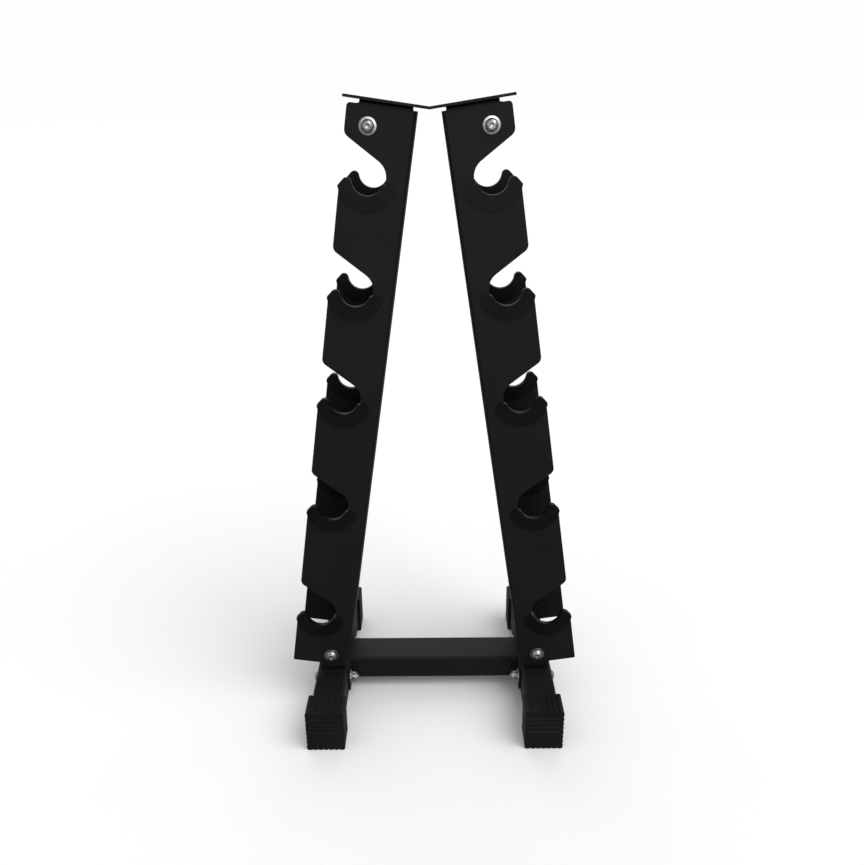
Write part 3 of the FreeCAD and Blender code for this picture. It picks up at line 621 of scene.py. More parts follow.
@dataclass
class Channels:
    """Two folded channels, each with five hooks cut in both of its flanges."""

    rack: Rack
    cradle: Cradle
    throat_rise: float = 2.43 * MM
    slope: float = 30.0
    blade_round: float = 9.0 * MM
    head_round: float = 4.0 * MM
    toe_round: float = 2.0 * MM
    bend_steps: int = 8
    edge_softness: float = 0.45 * MM

    def hook(self, height: float) -> list[Point2]:
        """Outline of one hook and its opening, from the hook's shoulder up to the blade.

        Args:
            height: the cradle's centre, along the channel.

        Returns:
            Corners as (out from the web, up along the channel).
        """
        cradle, reach, slope = self.cradle, self.rack.edge_reach, math.radians(self.slope)
        seat, rise = cradle.seat, self.throat_rise
        mouth = rise + seat / math.cos(slope) + reach * math.tan(slope)
        blade = mouth + self.blade_round * math.tan(slope)
        first = math.degrees(math.atan2(cradle.seat_end.y, cradle.seat_end.x))
        outline = [
            cradle.shoulder(reach), cradle.hook_top,
            *arc((0, 0), seat, first, -180, cradle.seat_steps),
            *arc((0, rise), seat, 180, 90 + self.slope, 10),
            *arc((reach - self.blade_round, blade), self.blade_round, self.slope - 90, 0, 8)]
        return [(self.rack.cradle_inset + x, height + z) for x, z in outline]

    def flange_outline(self) -> list[Point2]:
        """Outline of a flange from its fold, with all hooks."""
        rack = self.rack
        outline = [(rack.bend, 0.0)]
        outline += arc((rack.flange - self.toe_round, self.toe_round), self.toe_round, -90, 0, 3)
        for tier in reversed(TIERS):
            outline += self.hook(rack.tiers[tier])
        outline += arc((rack.flange - self.head_round, rack.length - self.head_round),
                       self.head_round, 0, 90, 5)
        return outline + [(rack.bend, rack.length)]

    def skin(self) -> bmesh.types.BMesh:
        """Outer skin of a channel: two flanges, two bends and the web."""
        rack = self.rack
        shape = bmesh.new()
        outline = self.flange_outline()
        flanges = {}
        for way in (-1, 1):
            flanges[way] = [shape.verts.new((u, way * rack.depth / 2, z)) for u, z in outline]
            shape.faces.new(flanges[way])
        centre = rack.depth / 2 - rack.bend
        curve = arc((rack.bend, -centre), rack.bend, -90, -180, self.bend_steps)
        curve += [(u, -y) for u, y in reversed(curve)]
        low = [flanges[-1][0], *(shape.verts.new((u, y, 0)) for u, y in curve[1:-1]),
               flanges[1][0]]
        high = [flanges[-1][-1], *(shape.verts.new((u, y, rack.length)) for u, y in curve[1:-1]),
                flanges[1][-1]]
        for n in range(len(low) - 1):
            shape.faces.new((low[n], low[n + 1], high[n + 1], high[n]))
        bmesh.ops.recalc_face_normals(shape, faces=shape.faces)
        return shape

    def build(self, finishes: Finishes) -> None:
        """Make both channels."""
        for side in Side:
            made = new_object(f"{side.value}_folded_channel", self.skin())
            web = max(made.data.polygons, key=lambda face: -face.center.x)
            thicken = made.modifiers.new("sheet", "SOLIDIFY")
            thicken.thickness = self.rack.sheet
            thicken.offset = -1.0 if web.normal.x < 0 else 1.0
            thicken.use_even_offset = True
            soften(made, self.edge_softness)
            settle(made, self.rack.tower(side))
            hand_over(made, finishes.frame, "frame", f"{side.value}_channel")


# ------------------------------------------------------------------ copies on points

class CopyTree:
    """Geometry Nodes tree that puts a master piece on every point of a mesh."""

    TURN = "turn"

    def __init__(self) -> None:
        """Build the tree."""
        self.tree = bpy.data.node_groups.new("copies_on_points", "GeometryNodeTree")
        add = self.tree.interface.new_socket
        add("Points", in_out="INPUT", socket_type="NodeSocketGeometry")
        self.master = add("Master", in_out="INPUT", socket_type="NodeSocketObject").identifier
        self.finish = add("Finish", in_out="INPUT", socket_type="NodeSocketMaterial").identifier
        self.size = add("Size", in_out="INPUT", socket_type="NodeSocketFloat").identifier
        add("Copies", in_out="OUTPUT", socket_type="NodeSocketGeometry")
        bench = Bench(self.tree)
        given = bench.node("NodeGroupInput")
        piece = bench.node("GeometryNodeObjectInfo", None, {"Object": given.out("Master")})
        turn = bench.node("GeometryNodeInputNamedAttribute", {"data_type": "QUATERNION"},
                          {"Name": self.TURN})
        copies = bench.node("GeometryNodeInstanceOnPoints", None, {
            "Points": given.out("Points"), "Instance": piece.out("Geometry"),
            "Rotation": turn.out("Attribute"), "Scale": given.out("Size")})
        real = bench.node("GeometryNodeRealizeInstances", None,
                          {"Geometry": copies.out("Instances")})
        dressed = bench.node("GeometryNodeSetMaterial", None, {
            "Geometry": real.out("Geometry"), "Material": given.out("Finish")})
        bench.node("NodeGroupOutput", None, {"Copies": dressed.out("Geometry")})

    def place(self, name: str, master: bpy.types.Object, spots: Sequence[Matrix],
              finish: bpy.types.Material, smooth_angle: float = 32.0,
              flat_faces: bool = True) -> bpy.types.Object:
        """Put a master piece on every spot and make one plain mesh of the copies.

        Args:
            name: name of the new object.
            master: the piece, about its own origin. It is removed.
            spots: place and turn of each copy.
            finish: material of the copies.
            smooth_angle: edges sharper than this stay sharp, in degrees.
            flat_faces: whether large faces keep their own direction.

        Returns:
            The new object.
        """
        mesh = bpy.data.meshes.new(name)
        mesh.from_pydata([spot.translation for spot in spots], [], [])
        turns = mesh.attributes.new(self.TURN, "QUATERNION", "POINT")
        for item, spot in zip(turns.data, spots):
            item.value = spot.to_quaternion()
        made = bpy.data.objects.new(name, mesh)
        bpy.context.scene.collection.objects.link(made)
        modifier = made.modifiers.new("copies", "NODES")
        modifier.node_group = self.tree
        modifier[self.master] = master
        modifier[self.finish] = finish
        modifier[self.size] = 1.0
        settle(made, smooth_angle=smooth_angle, flat_faces=flat_faces)
        discard(master)
        return made


# ------------------------------------------------------------------ liners

@dataclass
class HookLiners:
    """Moulded crescents that line the cradles, one on every hook."""

    rack: Rack
    cradle: Cradle
    wall: float = 1.8 * MM
    clearance: float = 0.1 * MM
    edge: float = 0.7 * MM
    lip: float = 0.45 * MM

    @property
    def width(self) -> float:
        """Liner's whole thickness, across both faces of the sheet."""
        return self.rack.sheet + 2 * (self.wall + self.clearance)

    def master(self) -> bpy.types.Object:
        """One liner about the centre of its cradle."""
        half = self.width / 2
        made = prism("liner_master", self.cradle.crescent_outline(), -half, half,
                     lambda u, z, y: Vector((u, y, z)))
        soften(made, self.edge, segments=4, angle=60.0)
        settle(made)
        slot = self.rack.sheet / 2 + self.clearance
        cutter = prism("groove", self.cradle.sheet_outline(self.rack.edge_reach), -slot, slot,
                       lambda u, z, y: Vector((u, y, z)))
        cut = made.modifiers.new("groove", "BOOLEAN")
        cut.operation = "DIFFERENCE"
        cut.solver = "EXACT"
        cut.object = cutter
        soften(made, self.lip, angle=70.0)
        settle(made)
        discard(cutter)
        return made

    def build(self, finishes: Finishes, copies: CopyTree) -> None:
        """Make the liners of both channels."""
        rack = self.rack
        offset = (rack.depth - rack.sheet) / 2
        for side in Side:
            spots, nodes = [], []
            for end in End:
                for tier, height in rack.tiers.items():
                    way = end.value if side is Side.RIGHT else -end.value
                    spots.append(rack.tower(side) @ Matrix.Translation(
                        (rack.cradle_inset, way * offset, height)))
                    nodes.append(f"{side.value}_{end.name.lower()}_liner_{tier}")
            made = copies.place(f"{side.value}_hook_liners", self.master(), spots,
                                finishes.liner)
            hand_over(made, finishes.liner, "liner", *nodes)


# ------------------------------------------------------------------ plate and brackets

@dataclass
class FoldedSheets:
    """Top plate and the stirrup brackets: each one strip of folded sheet."""

    rack: Rack
    plate_thickness: float = 3.0 * MM
    plate_rise: float = 4.2 * MM
    plate_overhang: float = 4.7 * MM
    plate_side: float = 5.0 * MM
    plate_bend: float = 8.0 * MM
    head_inset: float = 5.6 * MM
    head_length: float = 55.0 * MM
    head_height: float = 40.0 * MM
    foot_width: float = 32.0 * MM
    foot_height: float = 36.0 * MM
    edge_softness: float = 0.35 * MM

    @staticmethod
    def band(line: Sequence[Point2], thickness: float) -> list[Point2]:
        """Outline of a strip of one thickness to the left of an open line."""
        outer = []
        for n, (x, y) in enumerate(line):
            before, after = line[max(n - 1, 0)], line[min(n + 1, len(line) - 1)]
            along = Vector((after[0] - before[0], after[1] - before[1])).normalized()
            outer.append((x - along.y * thickness, y + along.x * thickness))
        return [*line, *reversed(outer)]

    def plate(self, finishes: Finishes) -> None:
        """Make the top plate, folded to a shallow V."""
        rack, lean = self.rack, self.rack.lean
        wing = (rack.top_gap / 2 / math.cos(lean) + rack.flange + self.plate_overhang
                - self.plate_rise * math.tan(lean))
        centre = self.plate_bend / math.cos(lean)
        turn = math.degrees(lean)
        line = [(-wing * math.cos(lean), wing * math.sin(lean)),
                *arc((0, centre), self.plate_bend, -90 - turn, -90 + turn, 6),
                (wing * math.cos(lean), wing * math.sin(lean))]
        fold = (rack.toe.z + rack.length * math.cos(lean) + self.plate_rise / math.cos(lean)
                - rack.top_gap / 2 * math.tan(lean))
        half = rack.depth / 2 + self.plate_side
        made = prism("folded_top_plate", self.band(line, self.plate_thickness), -half, half,
                     lambda x, z, y: Vector((x, y, fold + z)))
        soften(made, self.edge_softness)
        settle(made)
        hand_over(made, finishes.frame, "frame", "top_plate")

    def stirrup(self, name: str, height: float, low: float, high: float,
                base_down: bool) -> bpy.types.Object:
        """One stirrup: a base and two legs, folded from a strip.

        Args:
            name: name of the object.
            height: from the base's outer face to the ends of the legs.
            low: start of the strip's width.
            high: end of the strip's width.
            base_down: whether the base is the lowest part.

        Returns:
            The object, its base at zero height.
        """
        rack = self.rack
        half, bend = rack.depth / 2 - rack.sheet, rack.bend
        line = [(half, height), *arc((half - bend, bend), bend, 0, -90, 6),
                *arc((-half + bend, bend), bend, -90, -180, 6), (-half, height)]
        sign = 1.0 if base_down else -1.0
        made = prism(name, self.band(line, -rack.sheet), low, high,
                     lambda y, z, x: Vector((x, y, sign * z)))
        soften(made, self.edge_softness)
        return made

    def build(self, finishes: Finishes) -> None:
        """Make the plate and all four brackets."""
        rack = self.rack
        self.plate(finishes)
        for side in Side:
            head = self.stirrup(f"{side.value}_head_stirrup", self.head_height, 0.0,
                                self.head_length, base_down=False)
            settle(head, rack.tower(side) @ Matrix.Translation(
                (self.head_inset, 0, rack.length + self.plate_rise)))
            hand_over(head, finishes.frame, "frame", f"{side.value}_head_bracket")
            foot = self.stirrup(f"{side.value}_foot_stirrup", self.foot_height,
                                -self.foot_width / 2, self.foot_width / 2, base_down=True)
            settle(foot, side.turn @ Matrix.Translation((rack.foot_centre, 0, rack.foot_top)))
            hand_over(foot, finishes.frame, "frame", f"{side.value}_foot_bracket")


# ------------------------------------------------------------------ base

@dataclass
class Base:
    """Foot tubes, crossbar and the crossbar's end plates."""

    rack: Rack
    wall: float = 2.0 * MM
    bar_depth: float = 47.4 * MM
    bar_height: float = 33.0 * MM
    bar_drop: float = 0.6 * MM
    plate_lift: float = 2.0 * MM
    plate_length: float = 100.0 * MM
    plate_round: float = 8.0 * MM
    edge_softness: float = 0.35 * MM
    corner_steps: int = 6

    def tube(self, name: str, width: float, height: float, length: float,
             place: Callable[[float, float, float], Vector]) -> bpy.types.Object:
        """Rounded tube about its middle, open at both ends."""
        corner = self.rack.tube_corner
        outer = rounded_rectangle(width, height, corner, self.corner_steps)
        inner = rounded_rectangle(width - 2 * self.wall, height - 2 * self.wall,
                                  corner - self.wall, self.corner_steps)
        made = prism(name, outer, -length / 2, length / 2, place, inner)
        soften(made, self.edge_softness)
        return made

    def end_plate(self, side: Side) -> bpy.types.Object:
        """Plate between the crossbar and a foot tube."""
        half, high, soft = self.plate_length / 2, self.rack.foot_size / 2, self.plate_round
        low = self.plate_lift - high
        outline = [*arc((half - soft, low + soft), soft, -90, 0, 8), (half, high), (-half, high),
                   *arc((-half + soft, low + soft), soft, 180, 270, 8)]
        made = prism(f"{side.value}_bar_end_plate", outline, -self.rack.sheet, 0.0,
                     lambda y, z, x: Vector((x, y, z)))
        soften(made, self.edge_softness)
        return made

    def build(self, finishes: Finishes) -> None:
        """Make the base."""
        rack = self.rack
        bar_z = rack.foot_top - self.bar_drop - self.bar_height / 2
        bar = self.tube("rectangular_crossbar", self.bar_depth, self.bar_height,
                        rack.foot_spacing - 2 * rack.sheet, lambda y, z, x: Vector((x, y, z)))
        settle(bar, Matrix.Translation((0, 0, bar_z)))
        hand_over(bar, finishes.frame, "frame", "crossbar")
        for side in Side:
            foot = self.tube(f"{side.value}_square_foot", rack.foot_size, rack.foot_size,
                             rack.foot_length, lambda x, z, y: Vector((x, y, z)))
            settle(foot, side.turn @ Matrix.Translation((rack.foot_centre, 0, rack.foot_middle)))
            hand_over(foot, finishes.frame, "frame", f"{side.value}_foot_tube")
            plate = self.end_plate(side)
            settle(plate, side.turn @ Matrix.Translation(
                (rack.foot_spacing / 2, 0, rack.foot_middle)))
            hand_over(plate, finishes.frame, "frame", f"{side.value}_end_plate")


# ------------------------------------------------------------------ foot caps

class FluteTree:
    """Geometry Nodes tree that cuts a column of level flutes in a cap's closed end."""

    INPUTS = ("Length", "Radius", "Pitch")

    def __init__(self) -> None:
        """Build the tree."""
        self.tree = bpy.data.node_groups.new("flutes_across_the_end", "GeometryNodeTree")
        add = self.tree.interface.new_socket
        add("Cap", in_out="INPUT", socket_type="NodeSocketGeometry")
        self.keys = {name: add(name, in_out="INPUT", socket_type="NodeSocketFloat").identifier
                     for name in self.INPUTS}
        self.keys["Start"] = add("Start", in_out="INPUT",
                                 socket_type="NodeSocketVector").identifier
        self.keys["Count"] = add("Count", in_out="INPUT", socket_type="NodeSocketInt").identifier
        self.keys["Finish"] = add("Finish", in_out="INPUT",
                                  socket_type="NodeSocketMaterial").identifier
        add("Fluted", in_out="OUTPUT", socket_type="NodeSocketGeometry")
        bench = Bench(self.tree)
        given = bench.node("NodeGroupInput")
        rod = bench.node("GeometryNodeMeshCylinder", None, {
            "Vertices": 32, "Radius": given.out("Radius"), "Depth": given.out("Length")})
        step = bench.node("ShaderNodeCombineXYZ", None,
                          {"Z": given.out("Pitch") * -1.0}).out("Vector")
        column = bench.node("GeometryNodeMeshLine", {"mode": "OFFSET"}, {
            "Count": given.out("Count"), "Start Location": given.out("Start"), "Offset": step})
        rods = bench.node("GeometryNodeInstanceOnPoints", None, {
            "Points": column.out("Mesh"), "Instance": rod.out("Mesh"),
            "Rotation": (0.0, math.pi / 2, 0.0)})
        cut = bench.node("GeometryNodeMeshBoolean",
                         {"operation": "DIFFERENCE", "solver": "EXACT"},
                         {"Mesh 1": given.out("Cap"), "Mesh 2": rods.out("Instances")})
        real = bench.node("GeometryNodeRealizeInstances", None, {"Geometry": cut.out("Mesh")})
        dressed = bench.node("GeometryNodeSetMaterial", None, {
            "Geometry": real.out("Geometry"), "Material": given.out("Finish")})
        bench.node("NodeGroupOutput", None, {"Fluted": dressed.out("Geometry")})

    def apply(self, made: bpy.types.Object, values: dict[str, Any]) -> None:
        """Add the tree to an object, with its sizes."""
        modifier = made.modifiers.new("flutes", "NODES")
        modifier.node_group = self.tree
        for name, content in values.items():
            modifier[self.keys[name]] = content


@dataclass
class FootCaps:
    """Fluted rubber caps over the ends of the foot tubes."""

    rack: Rack
    wall: float = 4.0 * MM
    top: float = 7.0 * MM
    sole: float = 10.0 * MM
    length: float = 34.5 * MM
    end_wall: float = 5.0 * MM
    corner: float = 3.0 * MM
    pitch: float = 6.7 * MM
    flute: float = 1.7 * MM
    flute_depth: float = 1.4 * MM
    end_flutes: int = 4
    end_flute_drop: float = 9.7 * MM
    end_border: float = 3.0 * MM
    edge_softness: float = 0.3 * MM

    @property
    def width(self) -> float:
        """Width of a cap."""
        return self.rack.foot_size + 2 * self.wall

    @property
    def height(self) -> float:
        """Height of a cap."""
        return self.sole + self.rack.foot_size + self.top

    @property
    def near(self) -> float:
        """Open end of a cap, from the middle of the rack's depth."""
        return self.rack.foot_length / 2 + self.end_wall - self.length

    def side_run(self, length: float) -> list[Point2]:
        """One fluted side, from one corner's start to the next: (along, inwards)."""
        count = int(length / self.pitch - 1)
        offset = self.flute - self.flute_depth
        reach = math.degrees(math.acos(offset / self.flute))
        run = []
        for n in range(count):
            middle = (n - (count - 1) / 2) * self.pitch
            run += [(x, -y) for x, y in arc((middle, offset), self.flute,
                                            -90 - reach, -90 + reach, 6)]
        return run

    def outline(self) -> list[Point2]:
        """Cap seen along its tube, anticlockwise from the lower side, with flutes all round."""
        half_w, half_h = self.width / 2, self.height / 2
        across, upward = self.side_run(self.width), self.side_run(self.height)
        r = self.corner
        points = [(x, -half_h + d) for x, d in across]
        points += arc((half_w - r, -half_h + r), r, -90, 0, 4)
        points += [(half_w - d, z) for z, d in upward]
        points += arc((half_w - r, half_h - r), r, 0, 90, 4)
        points += [(-x, half_h - d) for x, d in across]
        points += arc((-half_w + r, half_h - r), r, 90, 180, 4)
        points += [(-half_w + d, -z) for z, d in upward]
        points += arc((-half_w + r, -half_h + r), r, 180, 270, 4)
        return points

    def shell(self, name: str) -> bpy.types.Object:
        """Cap with its socket, closed end at the far side of +Y."""
        made = prism(name, self.outline(), 0.0, self.length,
                     lambda x, z, y: Vector((x, y, z + self.height / 2)))
        size = self.rack.foot_size
        cutter = prism("socket", rounded_rectangle(size, size, self.rack.tube_corner, 6),
                       -self.length, self.length - self.end_wall,
                       lambda x, z, y: Vector((x, y, z + self.sole + size / 2)))
        cut = made.modifiers.new("socket", "BOOLEAN")
        cut.operation = "DIFFERENCE"
        cut.solver = "EXACT"
        cut.object = cutter
        settle(made)
        discard(cutter)
        return made

    def build(self, finishes: Finishes, flutes: FluteTree) -> None:
        """Make all four caps."""
        sizes = {"Length": self.width - 2 * self.end_border, "Radius": self.flute,
                 "Pitch": self.pitch, "Count": self.end_flutes,
                 "Start": (0.0, self.length + self.flute - self.flute_depth,
                           self.height - self.end_flute_drop)}
        for side in Side:
            for end in End:
                name = f"{side.value}_{end.name.lower()}"
                made = self.shell(f"{name}_fluted_cap")
                flutes.apply(made, {**sizes, "Finish": finishes.foot_cap})
                soften(made, self.edge_softness, angle=40.0)
                turn = Matrix.Rotation(0.0 if end is End.BACK else math.pi, 4, "Z")
                middle = self.rack.foot_centre * (1 if side is Side.RIGHT else -1)
                settle(made, Matrix.Translation((middle, end.value * self.near, 0)) @ turn)
                hand_over(made, finishes.foot_cap, "foot_cap", f"{name}_cap")


# ------------------------------------------------------------------ fasteners

class Section(Enum):
    """Outline of one ring of a turned or forged piece."""

    ROUND = "round"
    HEXAGON = "hexagon"
    CHAMFERED = "hexagon cut by a circle"


@dataclass(frozen=True)
class Ring:
    """One ring of a fastener: its outline, its radius or half-width, and its height."""

    radius: float
    height: float
    section: Section = Section.ROUND
    cut: float = 0.0

    def reach(self, angle: float) -> float:
        """Distance from the axis at an angle."""
        if self.section is Section.ROUND:
            return self.radius
        sixth = math.pi / 3
        flat = self.radius / math.cos(angle % sixth - sixth / 2)
        return min(flat, self.cut) if self.section is Section.CHAMFERED else flat


@dataclass
class Fasteners:
    """Button-head bolts with washers and lock nuts."""

    rack: Rack
    bolt: float = 4.0 * MM
    head: float = 7.0 * MM
    head_height: float = 4.4 * MM
    head_rim: float = 1.0 * MM
    socket: float = 2.5 * MM
    socket_depth: float = 2.6 * MM
    washer: float = 9.5 * MM
    washer_bore: float = 4.2 * MM
    washer_thickness: float = 1.6 * MM
    nut: float = 6.5 * MM
    nut_height: float = 8.0 * MM
    nut_collar: float = 2.6 * MM
    flange_bolt_end: float = 1.4 * MM
    bar_bolt_end: float = 2.3 * MM
    bar_bolt_line: float = 38.0 * MM
    head_inset: float = 48.9 * MM
    head_drop: float = 20.6 * MM
    lower_rise: float = 13.5 * MM
    around: int = 48
    chamfer: float = 0.3 * MM
    thread: float = 1.25 * MM
    thread_depth: float = 0.45 * MM
    thread_reach: float = 22.0 * MM
    nut_play: float = 0.1 * MM
    nut_seat_inset: float = 0.2 * MM
    nut_foot: float = 0.5 * MM
    nut_shoulder: float = 0.7 * MM
    nut_neck_inset: float = 0.3 * MM
    collar_round: float = 1.2 * MM
    copies: CopyTree = field(default_factory=CopyTree)

    @property
    def flange_bolt(self) -> float:
        """Length of a bolt through a flange and a bracket's leg, under its head."""
        return (self.washer_thickness + 2 * self.rack.sheet + self.nut_height
                + self.flange_bolt_end)

    @property
    def bar_bolt(self) -> float:
        """Length of a bolt through a foot tube and an end plate, under its head."""
        return (self.rack.sheet + self.rack.foot_size + 2 * self.washer_thickness
                + self.nut_height + self.bar_bolt_end)

    def turned(self, name: str, rings: Sequence[Ring], hollow: bool) -> bpy.types.Object:
        """Piece through a stack of rings.

        Args:
            name: name of the object.
            rings: rings in order along the skin.
            hollow: whether the last ring joins the first one; otherwise both ends are closed.

        Returns:
            The object, about +Z.
        """
        shape = bmesh.new()
        angles = [2 * math.pi * n / self.around for n in range(self.around)]
        loops = [[shape.verts.new((ring.reach(a) * math.cos(a), ring.reach(a) * math.sin(a),
                                   ring.height)) for a in angles] for ring in rings]
        pairs = list(zip(loops, loops[1:]))
        if hollow:
            pairs.append((loops[-1], loops[0]))
        else:
            shape.faces.new(loops[0])
            shape.faces.new(loops[-1])
        for near, far in pairs:
            for n in range(self.around):
                m = (n + 1) % self.around
                shape.faces.new((near[n], near[m], far[m], far[n]))
        bmesh.ops.recalc_face_normals(shape, faces=shape.faces)
        return new_object(name, shape)

    def bolt_master(self, length: float) -> bpy.types.Object:
        """Bolt along +Z from the underside of its head."""
        flat = self.head / 2
        rise = self.head_height - self.head_rim
        below = (self.head ** 2 - flat ** 2 - rise ** 2) / (2 * rise)
        radius = math.hypot(self.head, below)
        first = math.degrees(math.atan2(rise + below, flat))
        last = math.degrees(math.atan2(below, self.head))
        dome = [Ring(x, -self.head_rim + below - z)
                for x, z in arc((0, 0), radius, first, last, 8)]
        top = -self.head_height
        mouth = self.socket + self.chamfer
        thread = []
        root = self.bolt - self.thread_depth
        turns = int(min(length, self.thread_reach) / self.thread) - 1
        for n in range(turns):
            at = length - self.chamfer - n * self.thread
            thread += [Ring(root, at - 0.1 * self.thread),
                       Ring(self.bolt, at - 0.4 * self.thread),
                       Ring(self.bolt, at - 0.6 * self.thread),
                       Ring(root, at - 0.9 * self.thread)]
        rings = [
            Ring(self.bolt - 2 * self.thread_depth, length), *thread, Ring(self.bolt, 0.4 * self.thread),
            Ring(self.bolt, 0.0), Ring(self.head - self.chamfer, 0.0),
            Ring(self.head, -self.chamfer), *reversed(dome),
            Ring(mouth, top, Section.HEXAGON),
            Ring(self.socket, top + self.chamfer, Section.HEXAGON),
            Ring(self.socket, top + self.socket_depth, Section.HEXAGON),
            Ring(self.socket * 0.5, top + self.socket_depth + self.chamfer)]
        return self.turned("bolt_master", rings, hollow=False)

    def washer_master(self) -> bpy.types.Object:
        """Washer along +Z from its lower face, its edges slightly rounded by the punch."""
        soft, thick = self.chamfer, self.washer_thickness
        outer = arc((self.washer - soft, thick - soft), soft, 0, 90, 3)
        rings = [Ring(self.washer_bore, 0.0), Ring(self.washer, 0.0),
                 *(Ring(x, z) for x, z in outer),
                 Ring(self.washer_bore + soft, thick), Ring(self.washer_bore, thick - soft)]
        return self.turned("washer_master", rings, hollow=True)

    def nut_master(self) -> bpy.types.Object:
        """Lock nut along +Z from its seat, with a crimped collar."""
        corner = self.nut / math.cos(math.pi / 6)
        hexagon = self.nut_height - self.nut_collar
        neck, soft = self.nut - self.nut_neck_inset, self.collar_round
        bore = self.bolt + self.nut_play
        cut = Section.CHAMFERED
        rings = [
            Ring(bore, 0.0), Ring(self.nut - self.nut_seat_inset, 0.0),
            Ring(self.nut, self.nut_foot, cut, corner),
            Ring(self.nut, hexagon - self.nut_shoulder, cut, corner),
            Ring(self.nut, hexagon, cut, self.nut + self.nut_play), Ring(neck, hexagon),
            *(Ring(neck - soft + x, self.nut_height - soft + z)
              for x, z in arc((0, 0), soft, 0, 90, 5)),
            Ring(bore, self.nut_height)]
        return self.turned("nut_master", rings, hollow=True)

    def flange_spots(self, u: float, z: float, depth: float) -> list[Matrix]:
        """Places on all four flanges, the copy's +Z pointing into the channel."""
        spots = []
        for side in Side:
            for way in (-1, 1):
                inwards = Matrix.Rotation(math.radians(-90 * way), 4, "X").inverted()
                spots.append(self.rack.tower(side) @ Matrix.Translation(
                    (u, way * (self.rack.depth / 2 - depth), z)) @ inwards)
        return spots

    def cross_spots(self, x: float) -> list[Matrix]:
        """Places on the crossbar's four bolt lines, the copy's +Z pointing to X = 0."""
        inwards = Matrix.Rotation(math.radians(-90), 4, "Y")
        return [side.turn @ Matrix.Translation((x, way * self.bar_bolt_line,
                                                self.rack.foot_middle)) @ inwards
                for side in Side for way in (-1, 1)]

    def put(self, node: str, master: bpy.types.Object, spots: Sequence[Matrix],
            finishes: Finishes) -> None:
        """Make one group of fasteners."""
        made = self.copies.place(f"zinc_{node}", master, spots, finishes.fastener, 25.0,
                                 flat_faces=False)
        hand_over(made, finishes.fastener, "fastener", node)

    def build(self, finishes: Finishes) -> None:
        """Make every group of fasteners."""
        rack, lean = self.rack, self.rack.lean
        lower_u = ((rack.foot_centre - rack.toe.x + self.lower_rise * math.sin(lean))
                   / math.cos(lean))
        places = {"head": (self.head_inset, rack.length - self.head_drop),
                  "lower": (lower_u, self.lower_rise)}
        for label, (u, z) in places.items():
            outside = self.flange_spots(u, z, -self.washer_thickness)
            inwards = self.flange_spots(u, z, 2 * rack.sheet)
            self.put(f"{label}_bolts", self.bolt_master(self.flange_bolt), outside, finishes)
            washer = self.flip(self.washer_master(), self.washer_thickness)
            self.put(f"{label}_washers", washer, outside, finishes)
            self.put(f"{label}_nuts", self.nut_master(), inwards, finishes)
        inner = rack.foot_spacing / 2 - rack.sheet
        outer = rack.foot_spacing / 2 + rack.foot_size + self.washer_thickness
        self.put("crossbar_bolts", self.bolt_master(self.bar_bolt), self.cross_spots(outer),
                 finishes)
        self.put("crossbar_outer_washers", self.flip(self.washer_master(),
                                                     self.washer_thickness),
                 self.cross_spots(outer), finishes)
        self.put("crossbar_inner_washers", self.washer_master(), self.cross_spots(inner),
                 finishes)
        self.put("crossbar_nuts", self.nut_master(),
                 self.cross_spots(inner - self.washer_thickness), finishes)

    @staticmethod
    def flip(made: bpy.types.Object, thickness: float) -> bpy.types.Object:
        """Turn a piece over, so that its rounded face looks towards the bolt's head."""
        made.data.transform(Matrix.Translation((0, 0, thickness))
                            @ Matrix.Rotation(math.pi, 4, "X"))
        return made


# ------------------------------------------------------------------ studio

@dataclass(frozen=True)
class Softbox:
    """One soft lamp: a wide disc far away, so that the whole floor gets the same light."""

    name: str
    azimuth: float
    elevation: float
    spread: float
    strength: float

    def build(self) -> None:
        """Add the light to the scene."""
        data = bpy.data.lights.new(self.name, "SUN")
        data.angle = math.radians(self.spread)
        data.energy = self.strength
        lamp = bpy.data.objects.new(self.name, data)
        azimuth, elevation = math.radians(self.azimuth), math.radians(self.elevation)
        towards = Vector((math.cos(azimuth) * math.cos(elevation),
                          math.sin(azimuth) * math.cos(elevation), math.sin(elevation)))
        lamp.location = towards
        lamp.rotation_euler = towards.to_track_quat("Z", "Y").to_euler()
        bpy.context.scene.collection.objects.link(lamp)


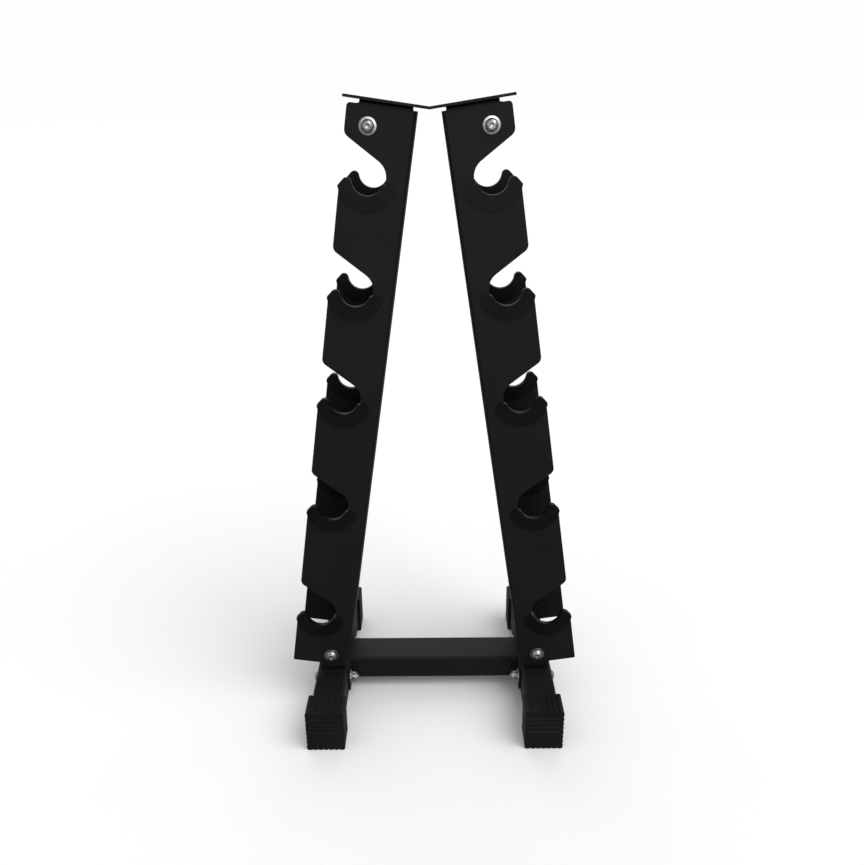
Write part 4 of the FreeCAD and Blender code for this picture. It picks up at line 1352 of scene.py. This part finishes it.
@dataclass
class Studio:
    """Pale floor, soft lights and the camera."""

    floor_reach: float = 60.0
    floor_tones: tuple[float, float] = (0.945, 0.955)
    floor_roughness: float = 0.9
    floor_specular: float = 0.1
    floor_cloud_scale: float = 3.0
    camera_place: tuple[float, float, float] = (0.0030, -0.9667, 0.7543)
    camera_yaw: float = 0.21
    camera_pitch: float = 68.45
    camera_roll: float = -0.51
    camera_lens: float = 34.37
    camera_sensor: float = 36.0
    camera_clip: tuple[float, float] = (0.02, 200.0)
    backdrop: float = 0.99
    sky: float = 0.64
    ground: float = 0.28
    horizon: float = 0.12
    lamps: tuple[Softbox, ...] = (
        Softbox("key_right", azimuth=-35.0, elevation=52.0, spread=50.0, strength=1.42),
        Softbox("rim_back", azimuth=95.0, elevation=40.0, spread=40.0, strength=0.36),
        Softbox("low_front", azimuth=-84.0, elevation=8.0, spread=26.0, strength=0.48))

    def floor(self) -> None:
        """Make the floor."""
        shape = bmesh.new()
        bmesh.ops.create_grid(shape, x_segments=1, y_segments=1, size=self.floor_reach)
        made = new_object("studio_floor", shape)
        material = bpy.data.materials.new("pale_floor")
        material.use_nodes = True
        bench = Bench(material.node_tree)
        material.node_tree.nodes.clear()
        place = bench.node("ShaderNodeTexCoord").out("Object")
        clouds = bench.node("ShaderNodeTexNoise", None, {
            "Vector": place, "Scale": self.floor_cloud_scale})
        dark, light = self.floor_tones
        tone = bench.node("ShaderNodeMix", {"data_type": "RGBA"}, {
            "Factor": clouds.out("Fac"), 6: (dark, dark, dark, 1.0),
            7: (light, light, light, 1.0)}).out(2)
        shader = bench.node("ShaderNodeBsdfPrincipled", None, {
            "Base Color": tone, "Roughness": self.floor_roughness,
            "Specular IOR Level": self.floor_specular})
        bench.node("ShaderNodeOutputMaterial", None, {"Surface": shader.out("BSDF")})
        made.data.materials.append(material)
        made.visible_diffuse = False
        made.visible_glossy = False

    def light(self) -> None:
        """Make the sky and the lamps. The backdrop is white, and the sky's light is softer."""
        world = bpy.data.worlds.new("studio")
        world.use_nodes = True
        world.node_tree.nodes.clear()
        bench = Bench(world.node_tree)
        seen = bench.node("ShaderNodeLightPath").out("Is Camera Ray")
        direction = bench.node("ShaderNodeTexCoord").out("Generated")
        height = bench.node("ShaderNodeSeparateXYZ", None, {"Vector": direction}).out("Z")
        dome = bench.node("ShaderNodeMapRange", {"interpolation_type": "SMOOTHSTEP"}, {
            "Value": height, "From Min": -self.horizon, "From Max": self.horizon,
            "To Min": self.ground, "To Max": self.sky}).out("Result")
        strength = dome + (self.backdrop - dome) * seen
        sky = bench.node("ShaderNodeBackground", None, {
            "Color": (1.0, 1.0, 1.0, 1.0), "Strength": strength}).out("Background")
        bench.node("ShaderNodeOutputWorld", None, {"Surface": sky})
        bpy.context.scene.world = world
        for lamp in self.lamps:
            lamp.build()
        bpy.context.scene.view_settings.view_transform = "Standard"

    def camera(self) -> None:
        """Make the camera."""
        data = bpy.data.cameras.new("front_view")
        data.sensor_width = self.camera_sensor
        data.lens = self.camera_lens
        data.clip_start, data.clip_end = self.camera_clip
        camera = bpy.data.objects.new("front_view", data)
        turn = (Matrix.Rotation(math.radians(self.camera_yaw), 4, "Z")
                @ Matrix.Rotation(math.radians(self.camera_pitch), 4, "X")
                @ Matrix.Rotation(math.radians(self.camera_roll), 4, "Z"))
        camera.matrix_world = Matrix.Translation(self.camera_place) @ turn
        bpy.context.scene.collection.objects.link(camera)
        bpy.context.scene.camera = camera

    def build(self) -> None:
        """Set up the studio."""
        self.camera()
        self.floor()
        self.light()


def main() -> None:
    """Build the rack and the studio around it."""
    logging.basicConfig(level=logging.INFO, format="%(name)s %(message)s")
    rack = Rack()
    Studio().build()
    finishes = Finishes.mix()
    copies = CopyTree()
    cradle = Cradle()
    Channels(rack, cradle).build(finishes)
    HookLiners(rack, cradle).build(finishes, copies)
    FoldedSheets(rack).build(finishes)
    Base(rack).build(finishes)
    FootCaps(rack).build(finishes, FluteTree())
    Fasteners(rack, copies=copies).build(finishes)


if __name__ == "__main__":
    main()
